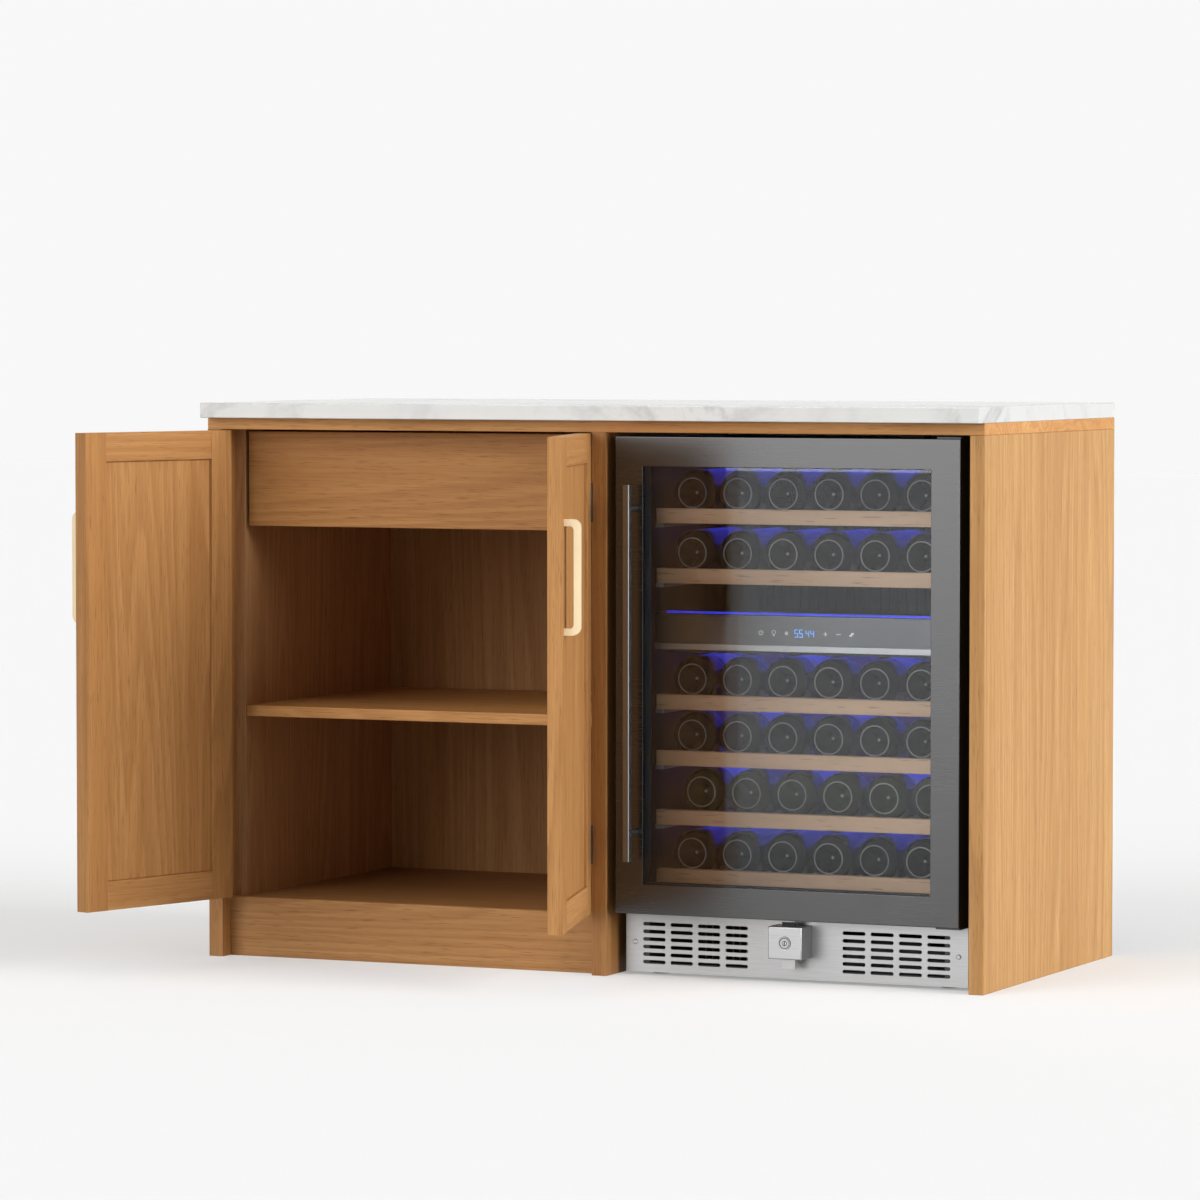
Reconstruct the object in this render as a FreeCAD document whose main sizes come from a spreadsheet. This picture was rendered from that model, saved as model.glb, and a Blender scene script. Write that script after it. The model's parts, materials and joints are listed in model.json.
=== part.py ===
import FreeCAD, Part
import Sketcher
import math
import os
from types import SimpleNamespace

# Wine bar cabinet: a cupboard with two framed doors and an inner drawer on the left,
# a built-in wine cooler on the right, one stone top over both.
# Millimetres, +X right, +Y back, +Z up, origin under the middle panel, at the centre of its foot.

doc = FreeCAD.newDocument("WineBarCabinet")
sheet = doc.addObject("Spreadsheet::Sheet", "Sizes")

carcassSizes = {
    "panelThick": 25, "cupboardWidth": 673, "bayWidth": 622, "carcassDepth": 616, "panelHeight": 876,
    "boardThick": 19, "slabThick": 25, "slabOverhang": 27, "slabRound": 2,
    "liningThick": 19, "liningSetback": 50, "floorTop": 98, "floorThick": 18,
    "toeSetback": 27, "toeThick": 18, "backThick": 12, "backInset": 10,
    "shelfThick": 18, "shelfClear": 0.8, "shelfPinRadius": 2.5, "shelfPinLong": 18,
    "shelfPinSunk": 9, "shelfPinInset": 70, "pinHoleClear": 0.1, "overrun": 1,
}
doorSizes = {
    "doorThick": 24, "hingeGap": 2, "doorMiddleGap": 3, "doorBottomGap": 2.5, "doorTopGap": 1.5,
    "stileWidth": 46, "railWidth": 47, "panelRecess": 5, "tongueThick": 6, "tongueLong": 8,
    "tongueClear": 0.2, "doorOpenAngle": 106.7,
    "hingeTall": 63, "hingeInset": 80, "knuckleRadius": 2.5, "hingePinRadius": 1.25, "hingePinClear": 0.05,
    "knuckleGap": 0.3, "leafThick": 0.9, "leafDepth": 20, "notchClear": 0.3,
    "pullLong": 181, "pullReach": 26, "pullBar": 11, "pullWide": 12, "pullCorner": 13, "pullInnerCorner": 6,
}
drawerSizes = {
    "drawerFrontThick": 18, "drawerFrontTall": 157, "drawerTopGap": 4, "drawerSideGap": 6.2,
    "drawerSpace": 13, "drawerWall": 12, "drawerBackGap": 46, "drawerBoxLift": 14, "drawerBoxDrop": 25,
    "drawerBottomThick": 6, "drawerBottomLift": 8,
    "channelTall": 46, "channelWall": 2, "channelLift": 20, "slideThick": 6, "runnerClear": 0.3,
}
coolerSizes = {
    "coolerSideGap": 16.5, "coolerBackGap": 50, "coolerTopGap": 11, "coolerWall": 40,
    "coolerFloorLow": 105, "coolerFloorThick": 35, "machineDeep": 150, "machineTop": 210, "machineWall": 25,
    "baseLow": 18, "baseThick": 2, "footRadius": 18, "footFlange": 24, "footFlangeThick": 4, "footInset": 45,
    "kickLow": 5, "kickHigh": 100, "kickThick": 2, "slotWide": 39, "slotTall": 6, "slotRound": 2.9,
    "slotPitchX": 48, "slotPitchZ": 12.3, "slotLow": 21.4, "slotInset": 30, "screwRadius": 4, "screwHead": 1.6,
    "screwInset": 16, "screwHeight": 53.5, "screwRound": 1,
    "tabWide": 40, "tabDeep": 30, "tabSetback": 60, "tabInset": 80,
}
lockSizes = {
    "lockWide": 58, "lockLow": 41, "lockHigh": 93, "lockRound": 2, "keyRadius": 10, "keyProud": 1,
    "keyClear": 0.06, "keySlotWide": 1.6, "keySlotTall": 9, "keySlotDeep": 3,
    "boltWide": 22.5, "boltThick": 2.5, "boltBack": 17, "boltLow": 25, "boltHigh": 99, "boltClear": 0.3,
    "camReach": 6.364, "camRadius": 2, "camLong": 2.4, "camClear": 0.8, "catchDeep": 8, "catchClear": 1,
}
coolerDoorSizes = {
    "coolerDoorLow": 103, "coolerDoorTopGap": 6, "coolerDoorThick": 40, "frameWidth": 48, "frameRound": 1.5,
    "paneLap": 8, "paneLip": 3, "paneThick": 4, "paneGap": 22, "spacerWidth": 9, "retainerWidth": 9,
    "gasketThick": 6, "gasketInset": 12, "gasketWidth": 14,
    "pivotInset": 10, "pivotBack": 18, "pivotRadius": 4, "pivotLong": 12, "pivotClear": 0.05,
    "bracketThick": 2.5, "bracketClear": 0.3, "bracketWide": 40, "bracketFront": 5, "flangeThick": 2,
    "flangeTall": 13, "barWide": 11.4, "barDeep": 12, "barLowGap": 87, "barHighGap": 77, "barInset": 35.1,
    "barStandoff": 27, "barRound": 2, "postRadius": 5, "postLowInset": 45, "postHighInset": 38,
}
rackSizes = {
    "rackStepClear": 0.5, "rackFloorClear": 0.3, "rackBackGap": 5, "rackStepGap": 10,
    "rackSetback": 20, "rackFrontTall": 24, "rackFrontThick": 18, "rackClear": 3,
    "railWide": 12, "railTall": 12, "slatDeep": 22, "slatTall": 16, "cradleRadius": 38.5,
    "bottlePitch": 79, "bottleRise": 26, "runnerWide": 14, "runnerTall": 7, "runnerSetback": 4,
}
insideSizes = {
    "fasciaTall": 60, "fasciaDeep": 30, "fasciaRound": 3, "dividerLift": 10, "dividerThick": 30,
    "displayThick": 2, "displayInset": 21, "displayLift": 15, "displayTall": 38,
    "lightTall": 3, "lightDeep": 8, "lightInset": 20, "lightSetback": 22,
    "ductDeep": 46, "ductSkin": 3, "ribDeep": 4, "ribPitch": 16, "ductEdge": 10, "ductGap": 8,
}
machineSizes = {
    "shellRadius": 62, "shellTall": 150, "shellShoulder": 40, "shellCapRadius": 30, "shellFoot": 8,
    "shellFootWide": 160, "shellInset": 90,
    "finThick": 1.5, "finPitch": 12, "condenserWide": 180, "condenserDeep": 120, "condenserTall": 70,
    "condenserSetback": 90, "condenserInset": 60, "tubeRadius": 4,
    "rotorRadius": 32, "hubRadius": 11, "hubLong": 16, "bladeThick": 2, "bladeAngle": 35, "shaftRadius": 2,
    "shaftClear": 0.06, "motorRadius": 14, "motorLong": 22, "motorArm": 8,
    "evaporatorInset": 44.5, "evaporatorThick": 12, "inletWide": 30, "inletTall": 24, "inletDeep": 24,
    "inletWall": 3, "inletEar": 8, "inletClear": 0.3, "inletLift": 20, "inletInset": 40, "rearSlotLow": 60,
}
sizeGroups = (carcassSizes, doorSizes, drawerSizes, coolerSizes, lockSizes, coolerDoorSizes, rackSizes,
              insideSizes, machineSizes)

# shares of a height: the shelf's in the cupboard, the pull's in its door, the upper racks' and the
# fascia's in the cooler's chamber, the coil's and its fan's in the lower duct
shelfShare = 0.40874
pullShare = 0.71835
rackShares = (0.89533, 0.75431, 0.45708, 0.32467)
fasciaShare = 0.56204
coilLowShare = 0.0856
coilTallShare = 0.411
chillFanShare = 0.702
hingePartShares = (1 / 3, 2 / 3)
slatDepthShares = (0.16, 0.55, 0.96)
ribStartShare = 0.25
tubeShares = (1 / 3, 2 / 3)
camTurn = 90
edgeMatch = 0.001
slotColumns = 4
slotRows = 6
rearSlotColumns = 8
rearSlotRows = 8
bottlesPerRack = 6
finCount = 15
bladeCount = 5
upright = FreeCAD.Vector(0, 0, 1)


class Dim:
    # a length with its number and the sheet expression that it comes from
    def __init__(self, text, value):
        self.text = text
        self.value = value

    @staticmethod
    def of(item):
        return item if isinstance(item, Dim) else Dim(repr(float(item)), float(item))

    def __add__(self, other):
        other = Dim.of(other)
        return Dim("(%s + %s)" % (self.text, other.text), self.value + other.value)

    def __radd__(self, other):
        return Dim.of(other) + self

    def __sub__(self, other):
        other = Dim.of(other)
        return Dim("(%s - %s)" % (self.text, other.text), self.value - other.value)

    def __rsub__(self, other):
        return Dim.of(other) - self

    def __mul__(self, other):
        other = Dim.of(other)
        return Dim("(%s * %s)" % (self.text, other.text), self.value * other.value)

    def __rmul__(self, other):
        return Dim.of(other) * self

    def __truediv__(self, other):
        other = Dim.of(other)
        return Dim("(%s / %s)" % (self.text, other.text), self.value / other.value)

    def __neg__(self):
        return Dim("(0 - %s)" % self.text, -self.value)


def fillSheet():
    named = {}
    row = 1
    for sizes in sizeGroups:
        for alias, value in sizes.items():
            sheet.set("A%d" % row, alias)
            sheet.set("B%d" % row, str(value))
            sheet.setAlias("B%d" % row, alias)
            named[alias] = Dim("Sizes." + alias, float(value))
            row += 1
    doc.recompute()
    return SimpleNamespace(**named)


s = fillSheet()
nodes = {}


def bind(obj, prop, dim):
    obj.setExpression(prop, Dim.of(dim).text)


def moveTo(obj, x, y, z):
    for axis, dim in zip("xyz", (x, y, z)):
        bind(obj, "Placement.Base." + axis, dim)


def box(name, x, y, z):
    # x, y and z are each a pair of places, low and high
    obj = doc.addObject("Part::Box", name)
    for prop, (low, high) in zip(("Length", "Width", "Height"), (x, y, z)):
        bind(obj, prop, high - low)
    moveTo(obj, x[0], y[0], z[0])
    return obj


def rod(name, direction, start, radius, long):
    obj = doc.addObject("Part::Cylinder", name)
    bind(obj, "Radius", radius)
    bind(obj, "Height", long)
    obj.Placement.Rotation = FreeCAD.Rotation(upright, FreeCAD.Vector(*direction))
    moveTo(obj, *start)
    return obj


def join(name, pieces):
    obj = doc.addObject("Part::MultiFuse", name)
    obj.Shapes = pieces
    return obj


def group(name, pieces):
    obj = doc.addObject("Part::Compound", name)
    obj.Links = pieces
    return obj


def cut(name, base, tools):
    obj = doc.addObject("Part::Cut", name)
    obj.Base = base
    obj.Tool = tools[0] if len(tools) == 1 else group(name + "Tools", tools)
    return obj


def same(*values):
    return max(values) - min(values) < edgeMatch


def rounded(name, base, radius, chosen):
    # rounds the straight edges of base whose two ends satisfy chosen
    doc.recompute()
    edges = []
    for index, edge in enumerate(base.Shape.Edges, start=1):
        if len(edge.Vertexes) == 2 and chosen(edge.Vertexes[0].Point, edge.Vertexes[1].Point):
            edges.append((index, radius.value, radius.value))
    obj = doc.addObject("Part::Fillet", name)
    obj.Base = base
    obj.Edges = edges
    return obj


def node(label, obj):
    obj.Label = label
    nodes[label] = obj
    return obj


def outline(body, role, points):
    # a closed outline of straight lines on one of the body's own planes, each corner bound to the sheet
    plane = [item for item in body.Origin.OriginFeatures if item.Role == role][0]
    sketch = body.newObject("Sketcher::SketchObject", body.Name + "Outline")
    sketch.AttachmentSupport = (plane, "")
    sketch.MapMode = "FlatFace"
    places = [FreeCAD.Vector(Dim.of(u).value, Dim.of(v).value, 0) for u, v in points]
    for index, place in enumerate(places):
        sketch.addGeometry(Part.LineSegment(place, places[(index + 1) % len(places)]))
    for index, (u, v) in enumerate(points):
        following = (index + 1) % len(points)
        sketch.addConstraint(Sketcher.Constraint("Coincident", index, 2, following, 1))
        for kind, axis, dim in (("DistanceX", -2, Dim.of(u)), ("DistanceY", -1, Dim.of(v))):
            if dim.value == 0:
                sketch.addConstraint(Sketcher.Constraint("PointOnObject", index, 1, axis))
            else:
                number = sketch.addConstraint(Sketcher.Constraint(kind, -1, 1, index, 1, dim.value))
                bind(sketch, "Constraints[%d]" % number, dim)
    return sketch


def turnedPiece(name, points):
    # a solid of revolution about its own upright axis, points are (radius, height)
    body = doc.addObject("PartDesign::Body", name)
    sketch = outline(body, "XZ_Plane", points)
    turn = body.newObject("PartDesign::Revolution", name + "Turn")
    turn.Profile = sketch
    turn.ReferenceAxis = (sketch, ["V_Axis"])
    turn.Angle = 360
    body.Tip = turn
    return body


# main places of the carcass
front = -s.carcassDepth / 2
back = s.carcassDepth / 2
midLeft = -s.panelThick / 2
midRight = s.panelThick / 2
cupLeft = midLeft - s.cupboardWidth
bayRight = midRight + s.bayWidth
outLeft = cupLeft - s.panelThick
outRight = bayRight + s.panelThick
boardTop = s.panelHeight + s.boardThick
slabTop = boardTop + s.slabThick
liningFront = front + s.liningSetback
liningLeft = cupLeft + s.liningThick
liningRight = midLeft - s.liningThick
innerBack = back - s.backInset - s.backThick
ground = Dim.of(0)

# main places of the cupboard doors
doorWidth = (s.cupboardWidth - s.hingeGap * 2 - s.doorMiddleGap) / 2
doorLow = s.floorTop + s.doorBottomGap
doorHigh = s.panelHeight - s.doorTopGap
hingeEdge = s.hingeGap / 2
hingeLows = (doorLow + s.hingeInset, doorHigh - s.hingeInset - s.hingeTall)
axisLeft = cupLeft + hingeEdge
axisRight = midLeft - hingeEdge

# main places of the cooler
coolerLeft = midRight + s.coolerSideGap
coolerRight = bayRight - s.coolerSideGap
coolerMiddle = (coolerLeft + coolerRight) / 2
chamberLeft = coolerLeft + s.coolerWall
chamberRight = coolerRight - s.coolerWall
coolerTop = s.panelHeight - s.coolerTopGap
chamberTop = coolerTop - s.coolerWall
chamberFloor = s.coolerFloorLow + s.coolerFloorThick
doorBack = front + s.coolerDoorThick
cabinetFront = doorBack + s.gasketThick
coolerBack = back - s.coolerBackGap
chamberBack = coolerBack - s.coolerWall
machineFront = coolerBack - s.machineDeep
stepFront = machineFront - s.machineWall
stepTop = s.machineTop + s.machineWall
baseTop = s.baseLow + s.baseThick
inletLeft = chamberLeft + s.inletInset
inletRight = inletLeft + s.inletWide
inletLow = baseTop + s.inletLift
inletHigh = inletLow + s.inletTall
rackFront = cabinetFront + s.rackSetback
rackRise = s.runnerTall + s.rackFrontTall
rackTops = [chamberFloor + (chamberTop - chamberFloor) * share for share in rackShares]
rackTops += [stepTop + s.rackStepClear + rackRise, chamberFloor + s.rackFloorClear + rackRise]
fasciaLow = chamberFloor + (chamberTop - chamberFloor) * fasciaShare
fasciaHigh = fasciaLow + s.fasciaTall
dividerLow = fasciaLow + s.dividerLift
dividerHigh = dividerLow + s.dividerThick


def mirrored(side, low, high):
    # a span counted from the hinge axis, along the door: side 1 runs to the right, side -1 to the left
    return (low, high) if side > 0 else (-high, -low)


def hingeNotches(name, axisX):
    radius = s.knuckleRadius + s.notchClear
    return [rod("%sNotch%d" % (name, index), (0, 0, 1), (axisX, front, low - s.notchClear), radius,
                s.hingeTall + s.notchClear * 2) for index, low in enumerate(hingeLows)]


def carcass():
    depth = (front, back)
    tall = (ground, s.panelHeight)
    leftBoard = box("LeftBoard", (outLeft, cupLeft), depth, tall)
    node("left_side_panel", cut("LeftSidePanel", leftBoard, hingeNotches("LeftPanel", axisLeft)))
    middleBoard = box("MiddleBoard", (midLeft, midRight), depth, tall)
    node("middle_panel", cut("MiddlePanel", middleBoard, hingeNotches("MiddlePanel", axisRight)))
    node("right_side_panel", box("RightSidePanel", (bayRight, outRight), depth, tall))
    node("top_board", box("TopBoard", (outLeft, outRight), depth, (s.panelHeight, boardTop)))
    slab = box("Slab", (outLeft, outRight), (front - s.slabOverhang, back), (boardTop, slabTop))
    topEdge = slabTop.value - s.slabRound.value
    stone = rounded("StoneTop", slab, s.slabRound, lambda a, b: min(a.z, b.z) > topEdge)
    node("stone_top", stone)
    cupboard = (cupLeft, midLeft)
    toeBack = front + s.toeSetback + s.toeThick
    node("toe_kick", box("ToeKick", cupboard, (front + s.toeSetback, toeBack), (ground, s.floorTop)))
    floorLow = s.floorTop - s.floorThick
    node("cupboard_floor", box("CupboardFloor", cupboard, (toeBack, innerBack), (floorLow, s.floorTop)))
    node("cupboard_back", box("CupboardBack", cupboard, (innerBack, innerBack + s.backThick),
                              (floorLow, s.panelHeight)))


def shelfPinPlaces():
    deep = (liningFront + s.shelfPinInset, innerBack - s.shelfPinInset)
    return [(face, y) for face in (liningLeft, liningRight) for y in deep]


def cupboardInside():
    shelfTop = s.floorTop + (s.panelHeight - s.floorTop) * shelfShare
    shelfLow = shelfTop - s.shelfThick
    pinHeight = shelfLow - s.shelfPinRadius
    holes = []
    pins = []
    holeRadius = s.shelfPinRadius + s.pinHoleClear
    for index, (face, y) in enumerate(shelfPinPlaces()):
        sunkEnd = face - s.shelfPinSunk if index < 2 else face + s.shelfPinSunk - s.shelfPinLong
        start = (sunkEnd, y, pinHeight)
        pins.append(rod("ShelfPin%d" % index, (1, 0, 0), start, s.shelfPinRadius, s.shelfPinLong))
        holeStart = face - s.shelfPinSunk if index < 2 else face - s.overrun
        holes.append(rod("PinHole%d" % index, (1, 0, 0), (holeStart, y, pinHeight), holeRadius,
                         s.shelfPinSunk + s.overrun))
    linings = []
    for index, span in enumerate(((cupLeft, liningLeft), (liningRight, midLeft))):
        board = box("LiningBoard%d" % index, span, (liningFront, innerBack), (s.floorTop, s.panelHeight))
        linings.append(cut("Lining%d" % index, board, holes[index * 2:index * 2 + 2]))
    node("cupboard_linings", group("CupboardLinings", linings))
    node("shelf_pins", group("ShelfPins", pins))
    node("cupboard_shelf", box("CupboardShelf", (liningLeft + s.shelfClear, liningRight - s.shelfClear),
                               (liningFront, innerBack - s.shelfClear), (shelfLow, shelfTop)))


def cupboardDoor(side, name, axisX):
    # built in its own frame: origin on the hinge axis, closed, then swung open to its resting place
    swing = FreeCAD.Rotation(upright, -side * s.doorOpenAngle.value)
    place = FreeCAD.Placement(FreeCAD.Vector(axisX.value, front.value, 0), swing)
    far = hingeEdge + doorWidth
    stileIn = hingeEdge + s.stileWidth
    stileOut = far - s.stileWidth
    thick = (ground, s.doorThick)
    middle = s.doorThick / 2
    tongue = (middle - s.tongueThick / 2, middle + s.tongueThick / 2)
    grooveHalf = s.tongueThick / 2 + s.tongueClear
    groove = (middle - grooveHalf, middle + grooveHalf)
    railLow = doorLow + s.railWidth
    railHigh = doorHigh - s.railWidth
    grooveDeep = s.tongueLong + s.tongueClear

    def swung(label, pieces):
        obj = group(name + label.title().replace("_", ""), pieces)
        obj.Placement = place
        node("%s_door_%s" % (name.lower(), label), obj)

    radius = s.knuckleRadius + s.notchClear
    notches = [rod("%sStileNotch%d" % (name, index), (0, 0, 1), (ground, ground, low - s.notchClear), radius,
                   s.hingeTall + s.notchClear * 2) for index, low in enumerate(hingeLows)]
    tall = (doorLow, doorHigh)
    long = (railLow - grooveDeep, railHigh + grooveDeep)
    hingeBoard = box(name + "HingeStileBoard", mirrored(side, hingeEdge, stileIn), thick, tall)
    hingeGroove = box(name + "HingeGroove", mirrored(side, stileIn - grooveDeep, stileIn + s.overrun),
                      groove, long)
    freeBoard = box(name + "FreeStileBoard", mirrored(side, stileOut, far), thick, tall)
    freeGroove = box(name + "FreeGroove", mirrored(side, stileOut - s.overrun, stileOut + grooveDeep),
                     groove, long)
    swung("stiles", [cut(name + "HingeStile", hingeBoard, notches + [hingeGroove]),
                     cut(name + "FreeStile", freeBoard, [freeGroove])])

    between = mirrored(side, stileIn, stileOut)
    rails = []
    for end, low, high, cutLow, cutHigh in (
            ("Bottom", doorLow, railLow, railLow - grooveDeep, railLow + s.overrun),
            ("Top", railHigh, doorHigh, railHigh - s.overrun, railHigh + grooveDeep)):
        board = box(name + end + "RailBoard", between, thick, (low, high))
        rails.append(cut(name + end + "Rail", board, [box(name + end + "Groove", between, groove,
                                                          (cutLow, cutHigh))]))
    swung("rails", rails)

    field = box(name + "Field", mirrored(side, stileIn + s.tongueClear, stileOut - s.tongueClear),
                (s.panelRecess, s.doorThick - s.panelRecess),
                (railLow + s.tongueClear, railHigh - s.tongueClear))
    sheetBoard = box(name + "Tongue", mirrored(side, stileIn - s.tongueLong, stileOut + s.tongueLong), tongue,
                     (railLow - s.tongueLong, railHigh + s.tongueLong))
    swung("panel", [join(name + "Panel", [field, sheetBoard])])

    pullX = (stileOut + far) / 2
    pullSpan = mirrored(side, pullX - s.pullWide / 2, pullX + s.pullWide / 2)
    pullHeight = doorLow + (doorHigh - doorLow) * pullShare
    pullLow = pullHeight - s.pullLong / 2
    pullHigh = pullHeight + s.pullLong / 2
    block = box(name + "PullBlock", pullSpan, (-s.pullReach, ground), (pullLow, pullHigh))
    corner = rounded(name + "PullBlockRound", block, s.pullCorner,
                     lambda a, b: same(a.y, b.y, -s.pullReach.value) and not same(a.x, b.x))
    hollow = box(name + "PullHollow", (pullSpan[0] - s.overrun, pullSpan[1] + s.overrun),
                 (s.pullBar - s.pullReach, s.overrun), (pullLow + s.pullBar, pullHigh - s.pullBar))
    hollowRound = rounded(name + "PullHollowRound", hollow, s.pullInnerCorner,
                          lambda a, b: max(a.y, b.y) < 0 and not same(a.x, b.x))
    swung("pull", [cut(name + "Pull", corner, [hollowRound])])

    swung("hinge_leaves", [hingeLeaf(name + "Door", side, low, True) for low in hingeLows])
    fixed = []
    for low in hingeLows:
        leaf = group("%sFrameLeaf%d" % (name, len(fixed)), [hingeLeaf(name + "Frame", side, low, False),
                                                            hingePin(name, low)])
        leaf.Placement = FreeCAD.Placement(place.Base, FreeCAD.Rotation())
        fixed.append(leaf)
    return fixed


def hingeLeaf(name, side, low, onDoor):
    # a plate with its knuckles about the origin's upright axis: one in the middle, or two at the ends
    ident = "%sLeaf%d" % (name, round(low.value))
    first, second = (low + s.hingeTall * share for share in hingePartShares)
    halfGap = s.knuckleGap / 2
    middle = (first + halfGap, second - halfGap)
    ends = ((low, first - halfGap), (second + halfGap, low + s.hingeTall))
    own = (middle,) if onDoor else ends
    others = ((low, first + halfGap), (second - halfGap, low + s.hingeTall)) if onDoor else \
        ((first - halfGap, second + halfGap),)
    inner = hingeEdge - s.leafThick
    span = mirrored(side if onDoor else -side, inner, hingeEdge)
    plate = box(ident + "Plate", span, (ground, s.leafDepth), (low, low + s.hingeTall))
    roomRadius = s.knuckleRadius + s.notchClear
    room = [rod("%sRoom%d" % (ident, index), (0, 0, 1), (ground, ground, a), roomRadius, b - a)
            for index, (a, b) in enumerate(others)]
    knuckles = [rod("%sKnuckle%d" % (ident, index), (0, 0, 1), (ground, ground, a), s.knuckleRadius, b - a)
                for index, (a, b) in enumerate(own)]
    bore = rod(ident + "Bore", (0, 0, 1), (ground, ground, low - s.overrun),
               s.hingePinRadius + s.hingePinClear, s.hingeTall + s.overrun * 2)
    return cut(ident, join(ident + "Body", [cut(ident + "Cleared", plate, room)] + knuckles), [bore])


def hingePin(name, low):
    return rod("%sHingePin%d" % (name, round(low.value)), (0, 0, 1), (ground, ground, low), s.hingePinRadius,
               s.hingeTall)


def cupboardDoors():
    leaves = cupboardDoor(1, "Left", axisLeft) + cupboardDoor(-1, "Right", axisRight)
    node("cupboard_hinge_frame_leaves", group("CupboardHingeFrameLeaves", leaves))


def drawer():
    frontBack = liningFront + s.drawerFrontThick
    span = (liningLeft + s.drawerSideGap, liningRight - s.drawerSideGap)
    frontHigh = s.panelHeight - s.drawerTopGap
    frontLow = frontHigh - s.drawerFrontTall
    node("drawer_front", box("DrawerFront", span, (liningFront, frontBack), (frontLow, frontHigh)))
    boxLeft = liningLeft + s.drawerSpace
    boxRight = liningRight - s.drawerSpace
    boxBack = innerBack - s.drawerBackGap
    tall = (frontLow + s.drawerBoxLift, frontHigh - s.drawerBoxDrop)
    insideSpan = (boxLeft + s.drawerWall, boxRight - s.drawerWall)
    sideSpans = ((boxLeft, insideSpan[0]), (insideSpan[1], boxRight))
    node("drawer_sides", group("DrawerSides", [box("DrawerSide%d" % index, span, (frontBack, boxBack), tall)
                                               for index, span in enumerate(sideSpans)]))
    bottomLow = tall[0] + s.drawerBottomLift
    bottomTop = bottomLow + s.drawerBottomThick
    node("drawer_bottom", box("DrawerBottom", insideSpan, (frontBack, boxBack), (bottomLow, bottomTop)))
    node("drawer_back", box("DrawerBack", insideSpan, (boxBack - s.drawerWall, boxBack),
                            (bottomTop, tall[1])))
    channelLow = tall[0] + s.channelLift
    channelHigh = channelLow + s.channelTall
    deep = (frontBack + s.runnerClear, boxBack)
    channels = []
    slides = []
    for index, (face, boxFace, inward) in enumerate(((liningLeft, boxLeft, 1), (liningRight, boxRight, -1))):
        outer = (face, boxFace - s.runnerClear) if inward > 0 else (boxFace + s.runnerClear, face)
        hollow = (face + s.channelWall, boxFace) if inward > 0 else (boxFace, face - s.channelWall)
        profile = box("ChannelBlock%d" % index, outer, deep, (channelLow, channelHigh))
        track = box("ChannelTrack%d" % index, hollow, (deep[0] - s.overrun, deep[1] + s.overrun),
                    (channelLow + s.channelWall, channelHigh - s.channelWall))
        channels.append(cut("Channel%d" % index, profile, [track]))
        gap = s.channelWall + s.runnerClear
        head = (boxFace - s.slideThick, boxFace) if inward > 0 else (boxFace, boxFace + s.slideThick)
        slides.append(box("Slide%d" % index, head, deep, (channelLow + gap, channelHigh - gap)))
    node("drawer_channels", group("DrawerChannels", channels))
    node("drawer_slides", group("DrawerSlides", slides))


def coolerCase():
    deep = (cabinetFront, coolerBack)
    tall = (baseTop, coolerTop)
    chamber = (chamberLeft, chamberRight)
    # two tabs on the top wall reach up to the top board and keep the cooler from tipping
    tabFront = cabinetFront + s.tabSetback
    tabs = [box("FixingTab%d" % index, (x - s.tabWide / 2, x + s.tabWide / 2),
                (tabFront, tabFront + s.tabDeep), (coolerTop, s.panelHeight))
            for index, x in enumerate((chamberLeft + s.tabInset, chamberRight - s.tabInset))]
    topSlab = box("CoolerTopSlab", chamber, (cabinetFront, chamberBack), (chamberTop, coolerTop))
    walls = [box("CoolerLeftWall", (coolerLeft, chamberLeft), deep, tall),
             box("CoolerRightWall", (chamberRight, coolerRight), deep, tall),
             join("CoolerTopWall", [topSlab] + tabs),
             box("CoolerBackWall", chamber, (chamberBack, coolerBack), (s.machineTop, coolerTop))]
    node("cooler_walls", group("CoolerWalls", walls))
    floor = [box("FloorSlab", chamber, (cabinetFront, machineFront), (s.coolerFloorLow, chamberFloor)),
             box("FloorRiser", chamber, (stepFront, machineFront), (chamberFloor, stepTop)),
             box("FloorStep", chamber, (machineFront, chamberBack), (s.machineTop, stepTop))]
    node("cooler_floor", group("CoolerFloor", floor))
    # a tray with an upstand that closes the machine space at the back, slotted for air
    rearFront = coolerBack - s.baseThick
    upstand = box("BaseUpstand", chamber, (rearFront, coolerBack), (baseTop, s.machineTop))
    rearDeep = (rearFront - s.overrun, coolerBack + s.overrun)
    groupLeft = coolerMiddle - (s.slotPitchX * (rearSlotColumns - 1) + s.slotWide) / 2
    vents = []
    for column in range(rearSlotColumns):
        for row in range(rearSlotRows):
            x = groupLeft + s.slotPitchX * column
            z = baseTop + s.rearSlotLow + s.slotPitchZ * row
            vents.append(box("RearSlot%d" % len(vents), (x, x + s.slotWide), rearDeep, (z, z + s.slotTall)))
    vents.append(box("InletWindow", (inletLeft - s.inletClear, inletRight + s.inletClear), rearDeep,
                     (inletLow - s.inletClear, inletHigh + s.inletClear)))
    tray = box("BaseTray", (coolerLeft, coolerRight), deep, (s.baseLow, baseTop))
    node("cooler_base", join("CoolerBase", [tray, cut("BaseRear", upstand, vents)]))
    profile = [(0, 0), (s.footRadius, 0), (s.footRadius, s.baseLow - s.footFlangeThick),
               (s.footFlange, s.baseLow - s.footFlangeThick), (s.footFlange, s.baseLow), (0, s.baseLow)]
    feet = []
    for x in (coolerLeft + s.footInset, coolerRight - s.footInset):
        for y in (cabinetFront + s.footInset, coolerBack - s.footInset):
            foot = turnedPiece("CoolerFoot%d" % len(feet), profile)
            moveTo(foot, x, y, ground)
            feet.append(foot)
    node("cooler_feet", group("CoolerFeet", feet))


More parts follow.
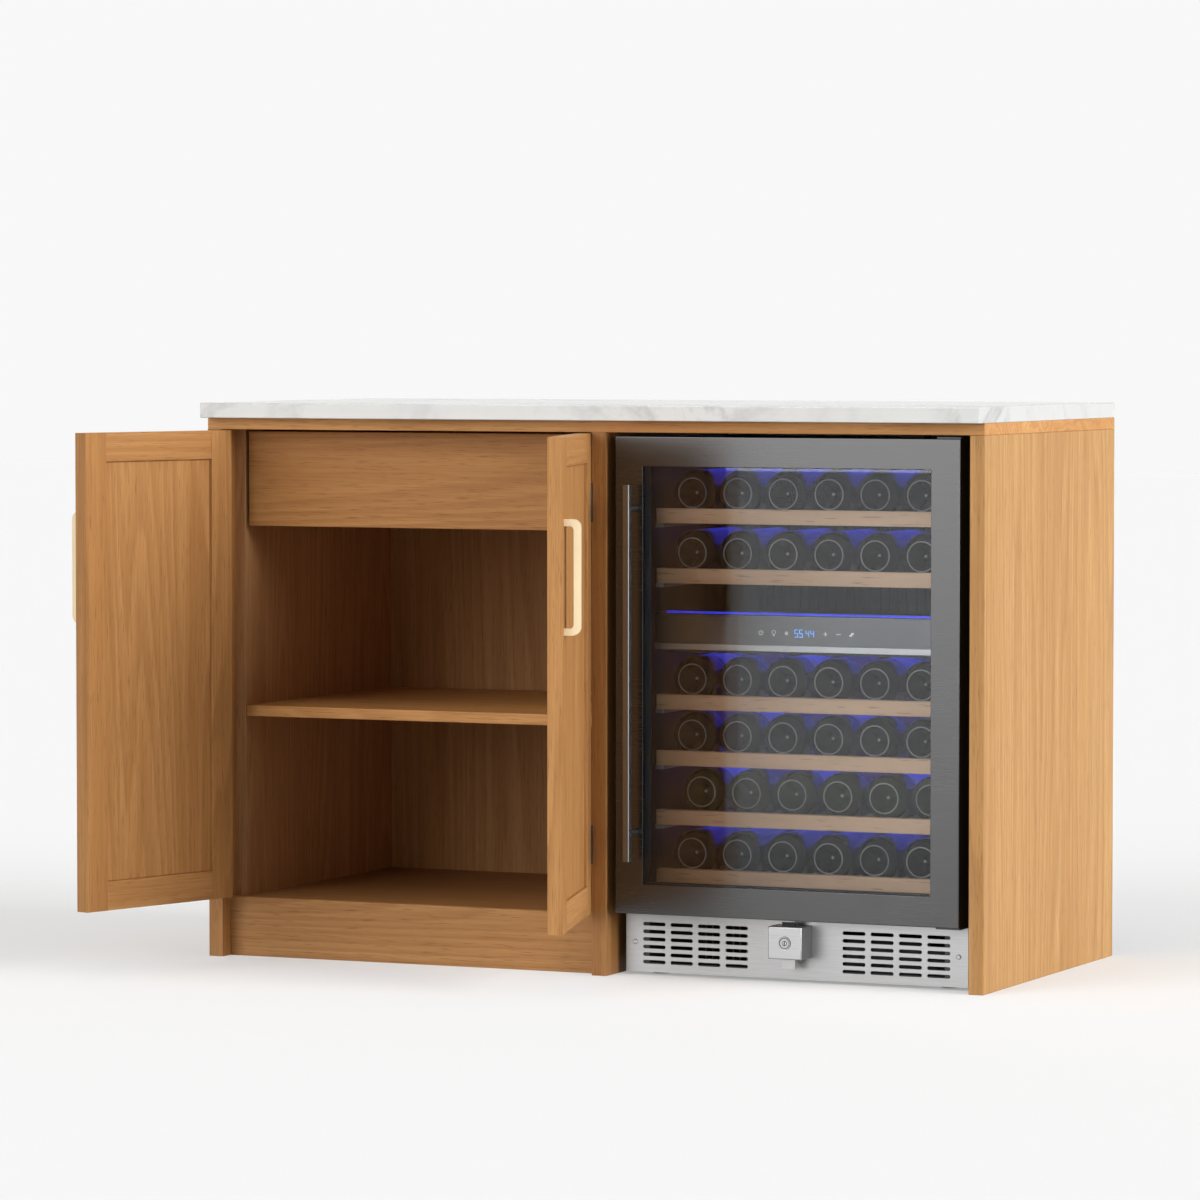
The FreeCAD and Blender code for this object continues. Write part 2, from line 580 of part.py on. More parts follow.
def kickPlate():
    plateFront = cabinetFront - s.kickThick
    plate = box("KickBlank", (coolerLeft, coolerRight), (plateFront, cabinetFront), (s.kickLow, s.kickHigh))
    slotDeep = (plateFront - s.overrun, cabinetFront + s.overrun)
    groupWide = s.slotPitchX * (slotColumns - 1) + s.slotWide
    slots = []
    for start in (coolerLeft + s.slotInset, coolerRight - s.slotInset - groupWide):
        for column in range(slotColumns):
            for row in range(slotRows):
                x = start + s.slotPitchX * column
                z = s.slotLow + s.slotPitchZ * row
                slots.append(box("KickSlot%d" % len(slots), (x, x + s.slotWide), slotDeep,
                                 (z - s.slotTall / 2, z + s.slotTall / 2)))
    slotted = cut("KickSlotted", plate, slots)
    inside = (s.kickLow.value + s.overrun.value, s.kickHigh.value - s.overrun.value)
    ends = rounded("KickPlate", slotted, s.slotRound,
                   lambda a, b: same(a.x, b.x) and same(a.z, b.z) and inside[0] < a.z < inside[1])
    node("kick_plate", ends)
    profile = [(0, 0), (s.screwRadius, 0), (s.screwRadius, s.screwHead - s.screwRound),
               (s.screwRadius - s.screwRound, s.screwHead), (0, s.screwHead)]
    screws = []
    for x in (coolerLeft + s.screwInset, coolerRight - s.screwInset):
        screw = turnedPiece("KickScrew%d" % len(screws), profile)
        screw.Placement.Rotation = FreeCAD.Rotation(upright, FreeCAD.Vector(0, -1, 0))
        moveTo(screw, x, plateFront, s.screwHeight)
        screws.append(screw)
    node("kick_plate_screws", group("KickPlateScrews", screws))


lockX = coolerMiddle
lockZ = (s.lockLow + s.lockHigh) / 2
boltFront = front + s.boltBack
boltRear = boltFront + s.boltThick
camRise = s.camReach * math.sin(math.radians(camTurn / 2))


def lock():
    half = s.lockWide / 2
    blank = box("LockBlank", (lockX - half, lockX + half), (front, cabinetFront - s.kickThick),
                (s.lockLow, s.lockHigh))
    soft = rounded("LockBlankRound", blank, s.lockRound, lambda a, b: same(a.y, b.y, front.value))
    boltHalf = s.boltWide / 2 + s.boltClear
    way = box("BoltWay", (lockX - boltHalf, lockX + boltHalf),
              (boltFront - s.boltClear, boltRear + s.boltClear),
              (s.lockLow - s.overrun, s.lockHigh + s.overrun))
    bore = rod("KeyBore", (0, 1, 0), (lockX, front - s.overrun, lockZ), s.keyRadius + s.keyClear,
               s.boltBack + s.overrun)
    node("lock_housing", cut("LockHousing", soft, [way, bore]))

    keyFront = front - s.keyProud
    keyLong = s.boltBack + s.keyProud - s.boltClear
    barrel = rod("KeyBarrel", (0, 1, 0), (lockX, keyFront, lockZ), s.keyRadius, keyLong)
    slit = box("KeySlit", (lockX - s.keySlotWide / 2, lockX + s.keySlotWide / 2),
               (keyFront - s.overrun, keyFront + s.keySlotDeep),
               (lockZ - s.keySlotTall / 2, lockZ + s.keySlotTall / 2))
    cam = rod("KeyCam", (0, 1, 0), (lockX + camRise, keyFront + keyLong, lockZ - camRise), s.camRadius,
              s.camLong)
    node("lock_cylinder", join("LockCylinder", [cut("KeyBarrelSlit", barrel, [slit]), cam]))

    plate = box("BoltPlate", (lockX - s.boltWide / 2, lockX + s.boltWide / 2), (boltFront, boltRear),
                (s.boltLow, s.boltHigh))
    camRoom = s.camRadius + s.camClear
    window = box("BoltWindow", (lockX + camRise - camRoom, lockX + s.camReach + camRoom),
                 (boltFront - s.overrun, boltRear + s.overrun),
                 (lockZ - camRise - camRoom, lockZ - camRise + camRoom))
    node("lock_bolt", cut("LockBolt", plate, [window]))


def ring(name, x, y, z, width):
    inner = box(name + "Opening", (x[0] + width, x[1] - width), (y[0] - s.overrun, y[1] + s.overrun),
                (z[0] + width, z[1] - width))
    return cut(name, box(name + "Outer", x, y, z), [inner])


def coolerDoor():
    x = (coolerLeft, coolerRight)
    z = (s.coolerDoorLow, s.panelHeight - s.coolerDoorTopGap)
    lap = s.frameWidth - s.paneLap
    paneX = (x[0] + lap, x[1] - lap)
    paneZ = (z[0] + lap, z[1] - lap)
    paneFront = front + s.paneLip
    spacerFront = paneFront + s.paneThick
    spacerBack = spacerFront + s.paneGap
    retainerFront = spacerBack + s.paneThick
    blank = rounded("FrameRound", box("FrameBlank", x, (front, doorBack), z), s.frameRound,
                    lambda a, b: same(a.y, b.y, front.value))
    window = box("FrameWindow", (x[0] + s.frameWidth, x[1] - s.frameWidth), (front - s.overrun, doorBack),
                 (z[0] + s.frameWidth, z[1] - s.frameWidth))
    seat = box("FrameSeat", paneX, (paneFront, doorBack + s.overrun), paneZ)
    catchHalf = s.boltWide / 2 + s.catchClear
    strike = box("BoltStrike", (lockX - catchHalf, lockX + catchHalf),
                 (boltFront - s.catchClear, boltRear + s.catchClear), (z[0] - s.overrun, z[0] + s.catchDeep))
    pivotX = x[1] - s.pivotInset
    pivotY = front + s.pivotBack
    boreRadius = s.pivotRadius + s.pivotClear
    boreDeep = s.pivotLong + s.overrun
    boreLong = boreDeep + s.overrun
    bores = [rod("PivotBoreLow", (0, 0, 1), (pivotX, pivotY, z[0] - s.overrun), boreRadius, boreLong),
             rod("PivotBoreHigh", (0, 0, 1), (pivotX, pivotY, z[1] - boreDeep), boreRadius, boreLong)]
    node("cooler_door_frame", cut("CoolerDoorFrame", blank, [window, seat, strike] + bores))
    panes = [box("OuterPane", paneX, (paneFront, spacerFront), paneZ),
             box("InnerPane", paneX, (spacerBack, retainerFront), paneZ)]
    node("cooler_door_panes", group("CoolerDoorPanes", panes))
    inner = [ring("Spacer", paneX, (spacerFront, spacerBack), paneZ, s.spacerWidth),
             ring("Retainer", paneX, (retainerFront, doorBack), paneZ, s.retainerWidth)]
    node("cooler_door_inner_frame", group("CoolerDoorInnerFrame", inner))
    inset = s.gasketInset
    gasketX = (x[0] + inset, x[1] - inset)
    gasketZ = (z[0] + inset, z[1] - inset)
    node("cooler_door_gasket", ring("CoolerDoorGasket", gasketX, (doorBack, cabinetFront), gasketZ,
                                    s.gasketWidth))

    barX = x[0] + s.barInset
    barBack = front - s.barStandoff
    barZ = (z[0] + s.barLowGap, z[1] - s.barHighGap)
    bar = box("BarBlank", (barX - s.barWide / 2, barX + s.barWide / 2), (barBack - s.barDeep, barBack), barZ)
    softBar = rounded("BarRound", bar, s.barRound, lambda a, b: same(a.x, b.x) and same(a.y, b.y))
    posts = [rod("BarPost%d" % index, (0, 1, 0), (barX, barBack, height), s.postRadius, s.barStandoff)
             for index, height in enumerate((barZ[0] + s.postLowInset, barZ[1] - s.postHighInset))]
    node("cooler_door_handle", join("CoolerDoorHandle", [softBar] + posts))

    bracketX = (x[1] - s.bracketWide, x[1])
    reach = (front + s.bracketFront, cabinetFront)
    flange = (cabinetFront - s.flangeThick, cabinetFront)
    lowTop = z[0] - s.bracketClear
    lowBottom = lowTop - s.bracketThick
    highLow = z[1] + s.bracketClear
    highTop = highLow + s.bracketThick
    low = [box("LowPlate", bracketX, reach, (lowBottom, lowTop)),
           box("LowFlange", bracketX, flange, (lowBottom, lowBottom + s.flangeTall)),
           rod("LowPivot", (0, 0, 1), (pivotX, pivotY, lowTop), s.pivotRadius, s.pivotLong)]
    high = [box("HighPlate", bracketX, reach, (highLow, highTop)),
            box("HighFlange", bracketX, flange, (highTop - s.flangeTall, highTop)),
            rod("HighPivot", (0, 0, 1), (pivotX, pivotY, highLow - s.pivotLong), s.pivotRadius, s.pivotLong)]
    brackets = [join("LowBracket", low), join("HighBracket", high)]
    node("cooler_hinge_brackets", group("CoolerHingeBrackets", brackets))


def rackBack(top):
    # a rack below the step over the machine space ends in front of it, the others before the duct covers
    if top.value - s.rackFrontTall.value < stepTop.value:
        return stepFront - s.rackStepGap
    return chamberBack - s.ductDeep - s.ribDeep - s.rackBackGap


def wineRack(number, top):
    name = "Rack%d" % number
    low = top - s.rackFrontTall
    x = (chamberLeft + s.rackClear, chamberRight - s.rackClear)
    frontBoard = box(name + "Front", x, (rackFront, rackFront + s.rackFrontThick), (low, top))
    railFront = rackFront + s.rackFrontThick
    railBack = rackBack(top)
    rails = [box(name + "Rail%d" % index, span, (railFront, railBack), (low, low + s.railTall))
             for index, span in enumerate(((x[0], x[0] + s.railWide), (x[1] - s.railWide, x[1])))]
    firstBottle = coolerMiddle - s.bottlePitch * ((bottlesPerRack - 1) / 2)
    slats = []
    for index, share in enumerate(slatDepthShares):
        y = railFront + (railBack - railFront) * share - s.slatDeep / 2
        plank = box("%sSlatBoard%d" % (name, index), (x[0] + s.railWide, x[1] - s.railWide),
                    (y, y + s.slatDeep), (low, low + s.slatTall))
        cradles = [rod("%sCradle%d_%d" % (name, index, bottle), (0, 1, 0),
                       (firstBottle + s.bottlePitch * bottle, y - s.overrun, top + s.bottleRise),
                       s.cradleRadius, s.slatDeep + s.overrun * 2) for bottle in range(bottlesPerRack)]
        slats.append(cut("%sSlat%d" % (name, index), plank, cradles))
    node("wine_rack_%d" % number, group(name, [frontBoard] + rails + slats))
    runners = []
    for side, span in (("Left", (chamberLeft, chamberLeft + s.runnerWide)),
                       ("Right", (chamberRight - s.runnerWide, chamberRight))):
        runners.append(box("%sRunner%s" % (name, side), span, (rackFront + s.runnerSetback, railBack),
                           (low - s.runnerTall, low)))
    return runners


def racks():
    runners = []
    for number, top in enumerate(rackTops, start=1):
        runners += wineRack(number, top)
    node("rack_runners", group("RackRunners", runners))


def coolerInside():
    chamber = (chamberLeft, chamberRight)
    fasciaBack = rackFront + s.fasciaDeep
    blank = box("FasciaBlank", chamber, (rackFront, fasciaBack), (fasciaLow, fasciaHigh))
    fascia = rounded("FasciaRound", blank, s.fasciaRound,
                     lambda a, b: same(a.y, b.y, rackFront.value) and same(a.z, b.z))
    partition = box("Partition", chamber, (fasciaBack, chamberBack), (dividerLow, dividerHigh))
    node("zone_divider", join("ZoneDivider", [fascia, partition]))
    displayX = (chamberLeft + s.displayInset, chamberRight - s.displayInset)
    displayLow = fasciaLow + s.displayLift
    node("control_display", box("ControlDisplay", displayX, (rackFront - s.displayThick, rackFront),
                                (displayLow, displayLow + s.displayTall)))
    lightX = (chamberLeft + s.lightInset, chamberRight - s.lightInset)
    lightY = (cabinetFront + s.lightSetback, cabinetFront + s.lightSetback + s.lightDeep)
    fasciaY = (rackFront + s.fasciaRound, rackFront + s.fasciaRound + s.lightDeep)
    strips = [box("LightTop", lightX, lightY, (chamberTop - s.lightTall, chamberTop)),
              box("LightFascia", lightX, fasciaY, (fasciaHigh, fasciaHigh + s.lightTall)),
              box("LightLow", lightX, fasciaY, (fasciaLow - s.lightTall, fasciaLow))]
    node("light_strips", group("LightStrips", strips))
    covers = [ductCover("UpperDuct", (dividerHigh + s.ductGap, chamberTop - s.ductGap)),
              ductCover("LowerDuct", (stepTop, dividerLow - s.ductGap))]
    node("duct_covers", group("DuctCovers", covers))


def ductCover(name, tall):
    # a ribbed sheet folded back to the wall on both sides
    low = chamberLeft + s.ductEdge
    high = chamberRight - s.ductEdge
    skinFront = chamberBack - s.ductDeep
    skinBack = skinFront + s.ductSkin
    pieces = [box(name + "Skin", (low, high), (skinFront, skinBack), tall),
              box(name + "FoldLeft", (low, low + s.ductSkin), (skinFront, chamberBack), tall),
              box(name + "FoldRight", (high - s.ductSkin, high), (skinFront, chamberBack), tall)]
    ribCount = int((high.value - low.value) // s.ribPitch.value)
    for index in range(ribCount):
        x = low + s.ribPitch * (index + ribStartShare)
        pieces.append(box("%sRib%d" % (name, index), (x, x + s.ribPitch / 2),
                          (skinFront - s.ribDeep, skinFront), tall))
    return join(name, pieces)


def fanRotor(name, x, y, z):
    # a hub on the axis with pitched blades, the axis runs along Y
    hub = rod(name + "Hub", (0, 1, 0), (x, y, z), s.hubRadius, s.hubLong)
    doc.recompute()
    blades = []
    sweep = s.rotorRadius - s.hubRadius + s.bladeThick
    for index in range(bladeCount):
        blade = doc.addObject("Part::Box", "%sBlade%d" % (name, index))
        bind(blade, "Length", s.bladeThick)
        bind(blade, "Width", s.hubLong)
        bind(blade, "Height", sweep)
        pitch = FreeCAD.Placement(FreeCAD.Vector(), FreeCAD.Rotation(upright, s.bladeAngle.value))
        centred = FreeCAD.Placement(FreeCAD.Vector(-s.bladeThick.value / 2, -s.hubLong.value / 2, 0),
                                    FreeCAD.Rotation())
        lift = FreeCAD.Placement(FreeCAD.Vector(0, 0, s.hubRadius.value - s.bladeThick.value),
                                 FreeCAD.Rotation())
        spoke = FreeCAD.Rotation(FreeCAD.Vector(0, 1, 0), 360 * index / bladeCount)
        centre = FreeCAD.Vector(x.value, y.value + s.hubLong.value / 2, z.value)
        blade.Placement = FreeCAD.Placement(centre, spoke) * lift * pitch * centred
        blades.append(blade)
    bore = rod(name + "Bore", (0, 1, 0), (x, y - s.overrun, z), s.shaftRadius + s.shaftClear,
               s.hubLong + s.overrun * 2)
    return cut(name, join(name + "Body", [hub] + blades), [bore])


def fanMotor(name, x, y, z):
    # the motor stands behind the rotor, its shaft runs through the hub
    return [rod(name + "Motor", (0, 1, 0), (x, y, z), s.motorRadius, s.motorLong),
            rod(name + "Shaft", (0, 1, 0), (x, y - s.hubLong - s.shaftClear, z), s.shaftRadius,
                s.hubLong + s.shaftClear)]


def machinery():
    shellX = chamberRight - s.shellInset
    shellY = (machineFront + coolerBack) / 2
    profile = [(0, 0), (s.shellRadius, 0), (s.shellRadius, s.shellTall - s.shellShoulder),
               (s.shellCapRadius, s.shellTall), (0, s.shellTall)]
    shell = turnedPiece("CompressorShell", profile)
    footTop = baseTop + s.shellFoot
    moveTo(shell, shellX, shellY, footTop)
    halfFoot = s.shellFootWide / 2
    plate = box("CompressorFoot", (shellX - halfFoot, shellX + halfFoot),
                (shellY - s.shellRadius, shellY + s.shellRadius), (baseTop, footTop))
    node("compressor", join("Compressor", [plate, shell]))

    x = (chamberLeft + s.condenserInset, chamberLeft + s.condenserInset + s.condenserWide)
    y = (cabinetFront + s.condenserSetback, cabinetFront + s.condenserSetback + s.condenserDeep)
    z = (baseTop, baseTop + s.condenserTall)
    fins = []
    for index in range(finCount):
        finX = x[0] + s.finPitch * index
        fins.append(box("CondenserFin%d" % index, (finX, finX + s.finThick), y, z))
    tubeLong = s.finPitch * (finCount - 1) + s.finThick
    tubes = []
    for deepShare in tubeShares:
        for tallShare in tubeShares:
            start = (x[0], y[0] + s.condenserDeep * deepShare, z[0] + s.condenserTall * tallShare)
            tubes.append(rod("CondenserTube%d" % len(tubes), (1, 0, 0), start, s.tubeRadius, tubeLong))
    fanX = x[1] + s.rotorRadius + s.motorArm
    fanZ = baseTop + s.rotorRadius + s.motorArm
    fanY = y[0]
    motorY = fanY + s.hubLong + s.shaftClear
    arm = box("CondenserFanArm", (fanX - s.motorArm, fanX + s.motorArm), (motorY, motorY + s.motorLong),
              (baseTop, fanZ))
    bracket = join("CondenserFanBracket", [arm] + fanMotor("CondenserFan", fanX, motorY, fanZ))
    node("condenser", group("Condenser", [join("CondenserBlock", fins + tubes), bracket]))
    node("condenser_fan", fanRotor("CondenserRotor", fanX, fanY, fanZ))

    ductTall = dividerLow - s.ductGap - stepTop
    coilX = (chamberLeft + s.evaporatorInset, chamberRight - s.evaporatorInset)
    coilLow = stepTop + ductTall * coilLowShare
    coil = box("EvaporatorPlate", coilX, (chamberBack - s.evaporatorThick, chamberBack),
               (coilLow, coilLow + ductTall * coilTallShare))
    chillZ = stepTop + ductTall * chillFanShare
    chillY = chamberBack - s.motorLong
    motor = join("ChillFanMotor", fanMotor("ChillFan", coolerMiddle, chillY, chillZ))
    node("evaporator", group("Evaporator", [coil, motor]))
    rotorY = chillY - s.hubLong - s.shaftClear
    node("evaporator_fan", fanRotor("ChillRotor", coolerMiddle, rotorY, chillZ))


def mainsInlet():
    # a socket let into the upstand at the back, held by an ear on each side
    inletFront = coolerBack - s.inletDeep
    socket = box("InletSocket", (inletLeft, inletRight), (inletFront, coolerBack), (inletLow, inletHigh))
    mouth = box("InletMouth", (inletLeft + s.inletWall, inletRight - s.inletWall),
                (inletFront + s.inletWall, coolerBack + s.overrun),
                (inletLow + s.inletWall, inletHigh - s.inletWall))
    rim = coolerBack - s.baseThick
    ears = box("InletEars", (inletLeft - s.inletEar, inletRight + s.inletEar), (rim - s.baseThick, rim),
               (inletLow, inletHigh))
    node("mains_inlet", cut("MainsInlet", join("InletBody", [socket, ears]), [mouth]))


def checkAndWrite():
    doc.recompute()
    for obj in doc.Objects:
        if "Invalid" in obj.State or "Error" in obj.State:
            raise RuntimeError("%s failed: %s" % (obj.Label, obj.State))
    for label, obj in nodes.items():
        if obj.Shape.isNull() or not obj.Shape.isValid() or not obj.Shape.Solids:
            raise RuntimeError("%s has no valid solid" % label)
    os.makedirs("parts", exist_ok=True)
    for label, obj in nodes.items():
        obj.Shape.exportStep("parts/%s.step" % label)
    print("nodes", len(nodes), "solids", sum(len(obj.Shape.Solids) for obj in nodes.values()))


carcass()
cupboardInside()
cupboardDoors()
drawer()
coolerCase()
kickPlate()
lock()
coolerDoor()
racks()
coolerInside()
machinery()
mainsInlet()
checkAndWrite()
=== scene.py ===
import json
import math
import bmesh
import bpy
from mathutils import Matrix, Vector

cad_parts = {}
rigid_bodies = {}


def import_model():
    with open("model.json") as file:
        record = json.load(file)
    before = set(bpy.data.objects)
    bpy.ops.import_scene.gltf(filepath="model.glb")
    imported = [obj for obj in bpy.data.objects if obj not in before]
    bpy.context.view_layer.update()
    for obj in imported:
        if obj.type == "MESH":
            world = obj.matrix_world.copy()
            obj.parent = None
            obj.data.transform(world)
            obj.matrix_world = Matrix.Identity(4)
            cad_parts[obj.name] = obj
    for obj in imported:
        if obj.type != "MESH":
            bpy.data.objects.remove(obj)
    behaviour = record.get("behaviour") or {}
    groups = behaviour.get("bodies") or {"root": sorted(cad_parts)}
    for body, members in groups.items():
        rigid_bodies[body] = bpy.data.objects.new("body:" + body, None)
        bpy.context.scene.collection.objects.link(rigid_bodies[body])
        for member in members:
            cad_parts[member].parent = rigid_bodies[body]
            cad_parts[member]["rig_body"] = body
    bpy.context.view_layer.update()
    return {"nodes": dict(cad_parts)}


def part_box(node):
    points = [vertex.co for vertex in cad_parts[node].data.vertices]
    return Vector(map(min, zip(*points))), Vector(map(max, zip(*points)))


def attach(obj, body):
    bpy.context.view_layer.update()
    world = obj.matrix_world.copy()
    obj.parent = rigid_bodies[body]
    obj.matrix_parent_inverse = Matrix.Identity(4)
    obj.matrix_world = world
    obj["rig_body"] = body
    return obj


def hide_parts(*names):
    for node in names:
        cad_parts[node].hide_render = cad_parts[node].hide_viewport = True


# wine bar cabinet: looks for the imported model, in metres, +X right, +Y back, +Z up
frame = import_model()
nodes = frame["nodes"]
scene = bpy.context.scene
print("loaded", len(nodes), "nodes")


# shader maths

class Wire:
    # a socket of a node tree: operators on it add Math nodes, add() makes any other node
    def __init__(self, tree, socket=None):
        self.tree = tree
        self.socket = socket

    def add(self, kind, settings=None, values=None, out=0):
        item = self.tree.nodes.new(kind)
        for key, value in (settings or {}).items():
            setattr(item, key, value)
        for key, value in (values or {}).items():
            if isinstance(value, Wire):
                self.tree.links.new(value.socket, item.inputs[key])
            else:
                item.inputs[key].default_value = value
        return Wire(self.tree, item.outputs[out] if len(item.outputs) else None)

    def maths(self, operation, first, second):
        return self.add("ShaderNodeMath", {"operation": operation}, {0: first, 1: second})

    def __add__(self, other):
        return self.maths("ADD", self, other)

    def __radd__(self, other):
        return self.maths("ADD", other, self)

    def __sub__(self, other):
        return self.maths("SUBTRACT", self, other)

    def __rsub__(self, other):
        return self.maths("SUBTRACT", other, self)

    def __mul__(self, other):
        return self.maths("MULTIPLY", self, other)

    def __rmul__(self, other):
        return self.maths("MULTIPLY", other, self)


def newFinish(name):
    material = bpy.data.materials.new(name)
    material.use_nodes = True
    material.node_tree.nodes.clear()
    return material, Wire(material.node_tree)


def closeFinish(start, shader):
    start.add("ShaderNodeOutputMaterial", None, {"Surface": shader})


def rgb(colour):
    return (*colour, 1)


def grey(value):
    return rgb([value] * 3)


def times(colour, factor):
    return [min(1, c * factor) for c in colour]


def blendColours(factor, first, second):
    first = first if isinstance(first, Wire) else rgb(first)
    second = second if isinstance(second, Wire) else rgb(second)
    return factor.add("ShaderNodeMix", {"data_type": "RGBA"}, {0: factor, 6: first, 7: second}, 2)


def objectPlace(start):
    return start.add("ShaderNodeTexCoord", None, None, 3)


def stretched(start, stretch=(1, 1, 1), turn=0.0, shift=(0, 0, 0)):
    # object coordinates turned about Z, moved and stretched, so that a pattern runs along a board
    place = objectPlace(start)
    turned = place.add("ShaderNodeMapping", None, {"Vector": place, "Location": shift, "Rotation": (0, 0, turn)})
    return turned.add("ShaderNodeVectorMath", {"operation": "MULTIPLY"}, {0: turned, 1: stretch})


def speckle(vector, scale, detail=2.0, rough=0.5, distort=0.0):
    return vector.add("ShaderNodeTexNoise", None, {"Vector": vector, "Scale": scale, "Detail": detail,
                                                   "Roughness": rough, "Distortion": distort})


def levels(factor, low, high):
    return factor.add("ShaderNodeMapRange", None, {"Value": factor, "From Min": low, "From Max": high})


def bumped(height, strength, distance):
    return height.add("ShaderNodeBump", None, {"Height": height, "Strength": strength, "Distance": distance})


# finishes; a noise is given as scale, detail, roughness, distortion

evenLevels = (0.3, 0.7)                 # the part of a noise that carries most of its change

oakLook = {
    "light": (0.47, 0.240, 0.086), "mid": (0.375, 0.172, 0.052), "dark": (0.225, 0.088, 0.023),
    "pore": (0.14, 0.052, 0.014),
    "run": 0.06, "fibreRun": 0.022, "poreRun": 0.04,        # how far each pattern is drawn out along the board
    "ringNoise": (2.4, 2.5, 0.5, 0.2), "waverNoise": (60, 2.0), "toneNoise": (3.2, 2.0), "streakNoise": (38, 2.0),
    "strandNoise": (330, 3.0, 0.6), "poreNoise": (700, 1.0),
    "rings": 60.0, "waver": 0.012, "ringLevels": (0.15, 0.85), "ringShare": 0.34,
    "toneShare": 0.55, "toneLevels": (0.34, 0.66), "strandLevels": (0.42, 0.75), "strandShare": 0.42,
    "poreLevels": (0.60, 0.74), "poreShare": 0.5, "strandRise": 0.6, "poreSink": 0.8, "ringSink": 0.25,
    "bump": (0.10, 0.0005), "roughness": 0.42, "strandRoughness": 0.16, "specular": 0.22,
}
oakGrains = {"up": (1, 1, 0), "across": (0, 1, 1), "deep": (1, 0, 1)}


def oakFinish(name, grain="up", turn=0.0, shift=(0, 0, 0), tint=(1, 1, 1)):
    # growth rings cut lengthwise, streaks of tone, fine fibres and short pores, all along the board
    material, start = newFinish(name)
    look = oakLook
    light, mid, dark, pore = [[c * t for c, t in zip(look[key], tint)] for key in ("light", "mid", "dark", "pore")]
    along, fibre, poreField = [stretched(start, [s or look[run] for s in oakGrains[grain]], turn, shift)
                               for run in ("run", "fibreRun", "poreRun")]
    field = speckle(along, *look["ringNoise"]) + speckle(fibre, *look["waverNoise"]) * look["waver"]
    saw = field.maths("FRACT", field * look["rings"], 0)
    begin, peak = look["ringLevels"]
    late = levels(saw, begin, peak) * levels(saw, 1.0, peak)        # each ring darkens slowly, then clears
    tone = (speckle(along, *look["toneNoise"]) * look["toneShare"]
            + speckle(fibre, *look["streakNoise"]) * (1 - look["toneShare"]))
    strands = speckle(fibre, *look["strandNoise"])
    pores = levels(speckle(poreField, *look["poreNoise"]), *look["poreLevels"])
    body = blendColours(levels(tone, *look["toneLevels"]), mid, light)
    ringed = blendColours(late * look["ringShare"], body, dark)
    stranded = blendColours(levels(strands, *look["strandLevels"]) * look["strandShare"], ringed, dark)
    colour = blendColours(pores * look["poreShare"], stranded, pore)
    height = strands * look["strandRise"] - pores * look["poreSink"] - late * look["ringSink"]
    shader = colour.add("ShaderNodeBsdfPrincipled", None, {
        "Base Color": colour, "Roughness": look["roughness"] + strands * look["strandRoughness"],
        "Normal": bumped(height, *look["bump"]), "Specular IOR Level": look["specular"]})
    closeFinish(start, shader)
    return material


beechLook = {
    "pale": (0.78, 0.52, 0.33), "warm": (0.58, 0.355, 0.20), "fleck": (0.34, 0.19, 0.09),
    "bandRun": (0.10, 1, 1), "bandNoise": (24, 3.0, 0.55, 0.3), "fleckRun": (0.08, 1, 1), "fleckNoise": (260, 1.0),
    "fleckLevels": (0.62, 0.72), "fleckShare": 0.65, "roughness": 0.45, "bandRoughness": 0.15, "bump": (0.08, 0.0004),
}


def beechFinish(name, shift):
    material, start = newFinish(name)
    look = beechLook
    bands = speckle(stretched(start, look["bandRun"], 0.0, shift), *look["bandNoise"])
    fleckField = speckle(stretched(start, look["fleckRun"], 0.0, shift), *look["fleckNoise"])
    flecks = levels(fleckField, *look["fleckLevels"])
    body = blendColours(levels(bands, *evenLevels), look["warm"], look["pale"])
    colour = blendColours(flecks * look["fleckShare"], body, look["fleck"])
    shader = colour.add("ShaderNodeBsdfPrincipled", None, {
        "Base Color": colour, "Roughness": look["roughness"] + bands * look["bandRoughness"],
        "Normal": bumped(flecks, *look["bump"])})
    closeFinish(start, shader)
    return material


marbleLook = {
    "white": (0.575, 0.577, 0.562), "cloud": (0.53, 0.53, 0.52), "vein": (0.27, 0.265, 0.255),
    "stretch": (1, 1.6, 1), "turn": 0.5, "shift": (3.1, 0.4, 0),
    "cloudNoise": (2.6, 4.0, 0.55, 0.6), "cloudLevels": (0.42, 0.70), "cloudShare": 0.7,
    # veins run where their noise crosses its middle, and fade with the clouds
    "middle": 0.5, "veinNoise": (2.4, 5.0, 0.6, 1.1), "veinWide": 0.045, "veinFade": (0.35, 0.65), "veinShare": 0.6,
    "thinNoise": (6.5, 4.0, 0.6, 0.8), "thinWide": 0.016, "thinFade": (0.45, 0.75), "thinShare": 0.4,
    "roughness": 0.20, "veinRoughness": 0.06, "coat": 0.15, "coatRoughness": 0.1,
}


def marbleFinish(name):
    material, start = newFinish(name)
    look = marbleLook
    place = stretched(start, look["stretch"], look["turn"], look["shift"])

    def crossing(noise, wide):
        field = speckle(place, *noise)
        return 1 - levels(field.maths("ABSOLUTE", field - look["middle"], 0), 0.0, wide)

    cloud = speckle(place, *look["cloudNoise"])
    veins = crossing(look["veinNoise"], look["veinWide"])
    thin = crossing(look["thinNoise"], look["thinWide"])
    body = blendColours(levels(cloud, *look["cloudLevels"]) * look["cloudShare"], look["white"], look["cloud"])
    veined = blendColours(veins * levels(cloud, *look["veinFade"]) * look["veinShare"], body, look["vein"])
    colour = blendColours(thin * levels(cloud, *look["thinFade"]) * look["thinShare"], veined, look["vein"])
    shader = colour.add("ShaderNodeBsdfPrincipled", None, {
        "Base Color": colour, "Roughness": look["roughness"] + veins * look["veinRoughness"],
        "Coat Weight": look["coat"], "Coat Roughness": look["coatRoughness"]})
    closeFinish(start, shader)
    return material


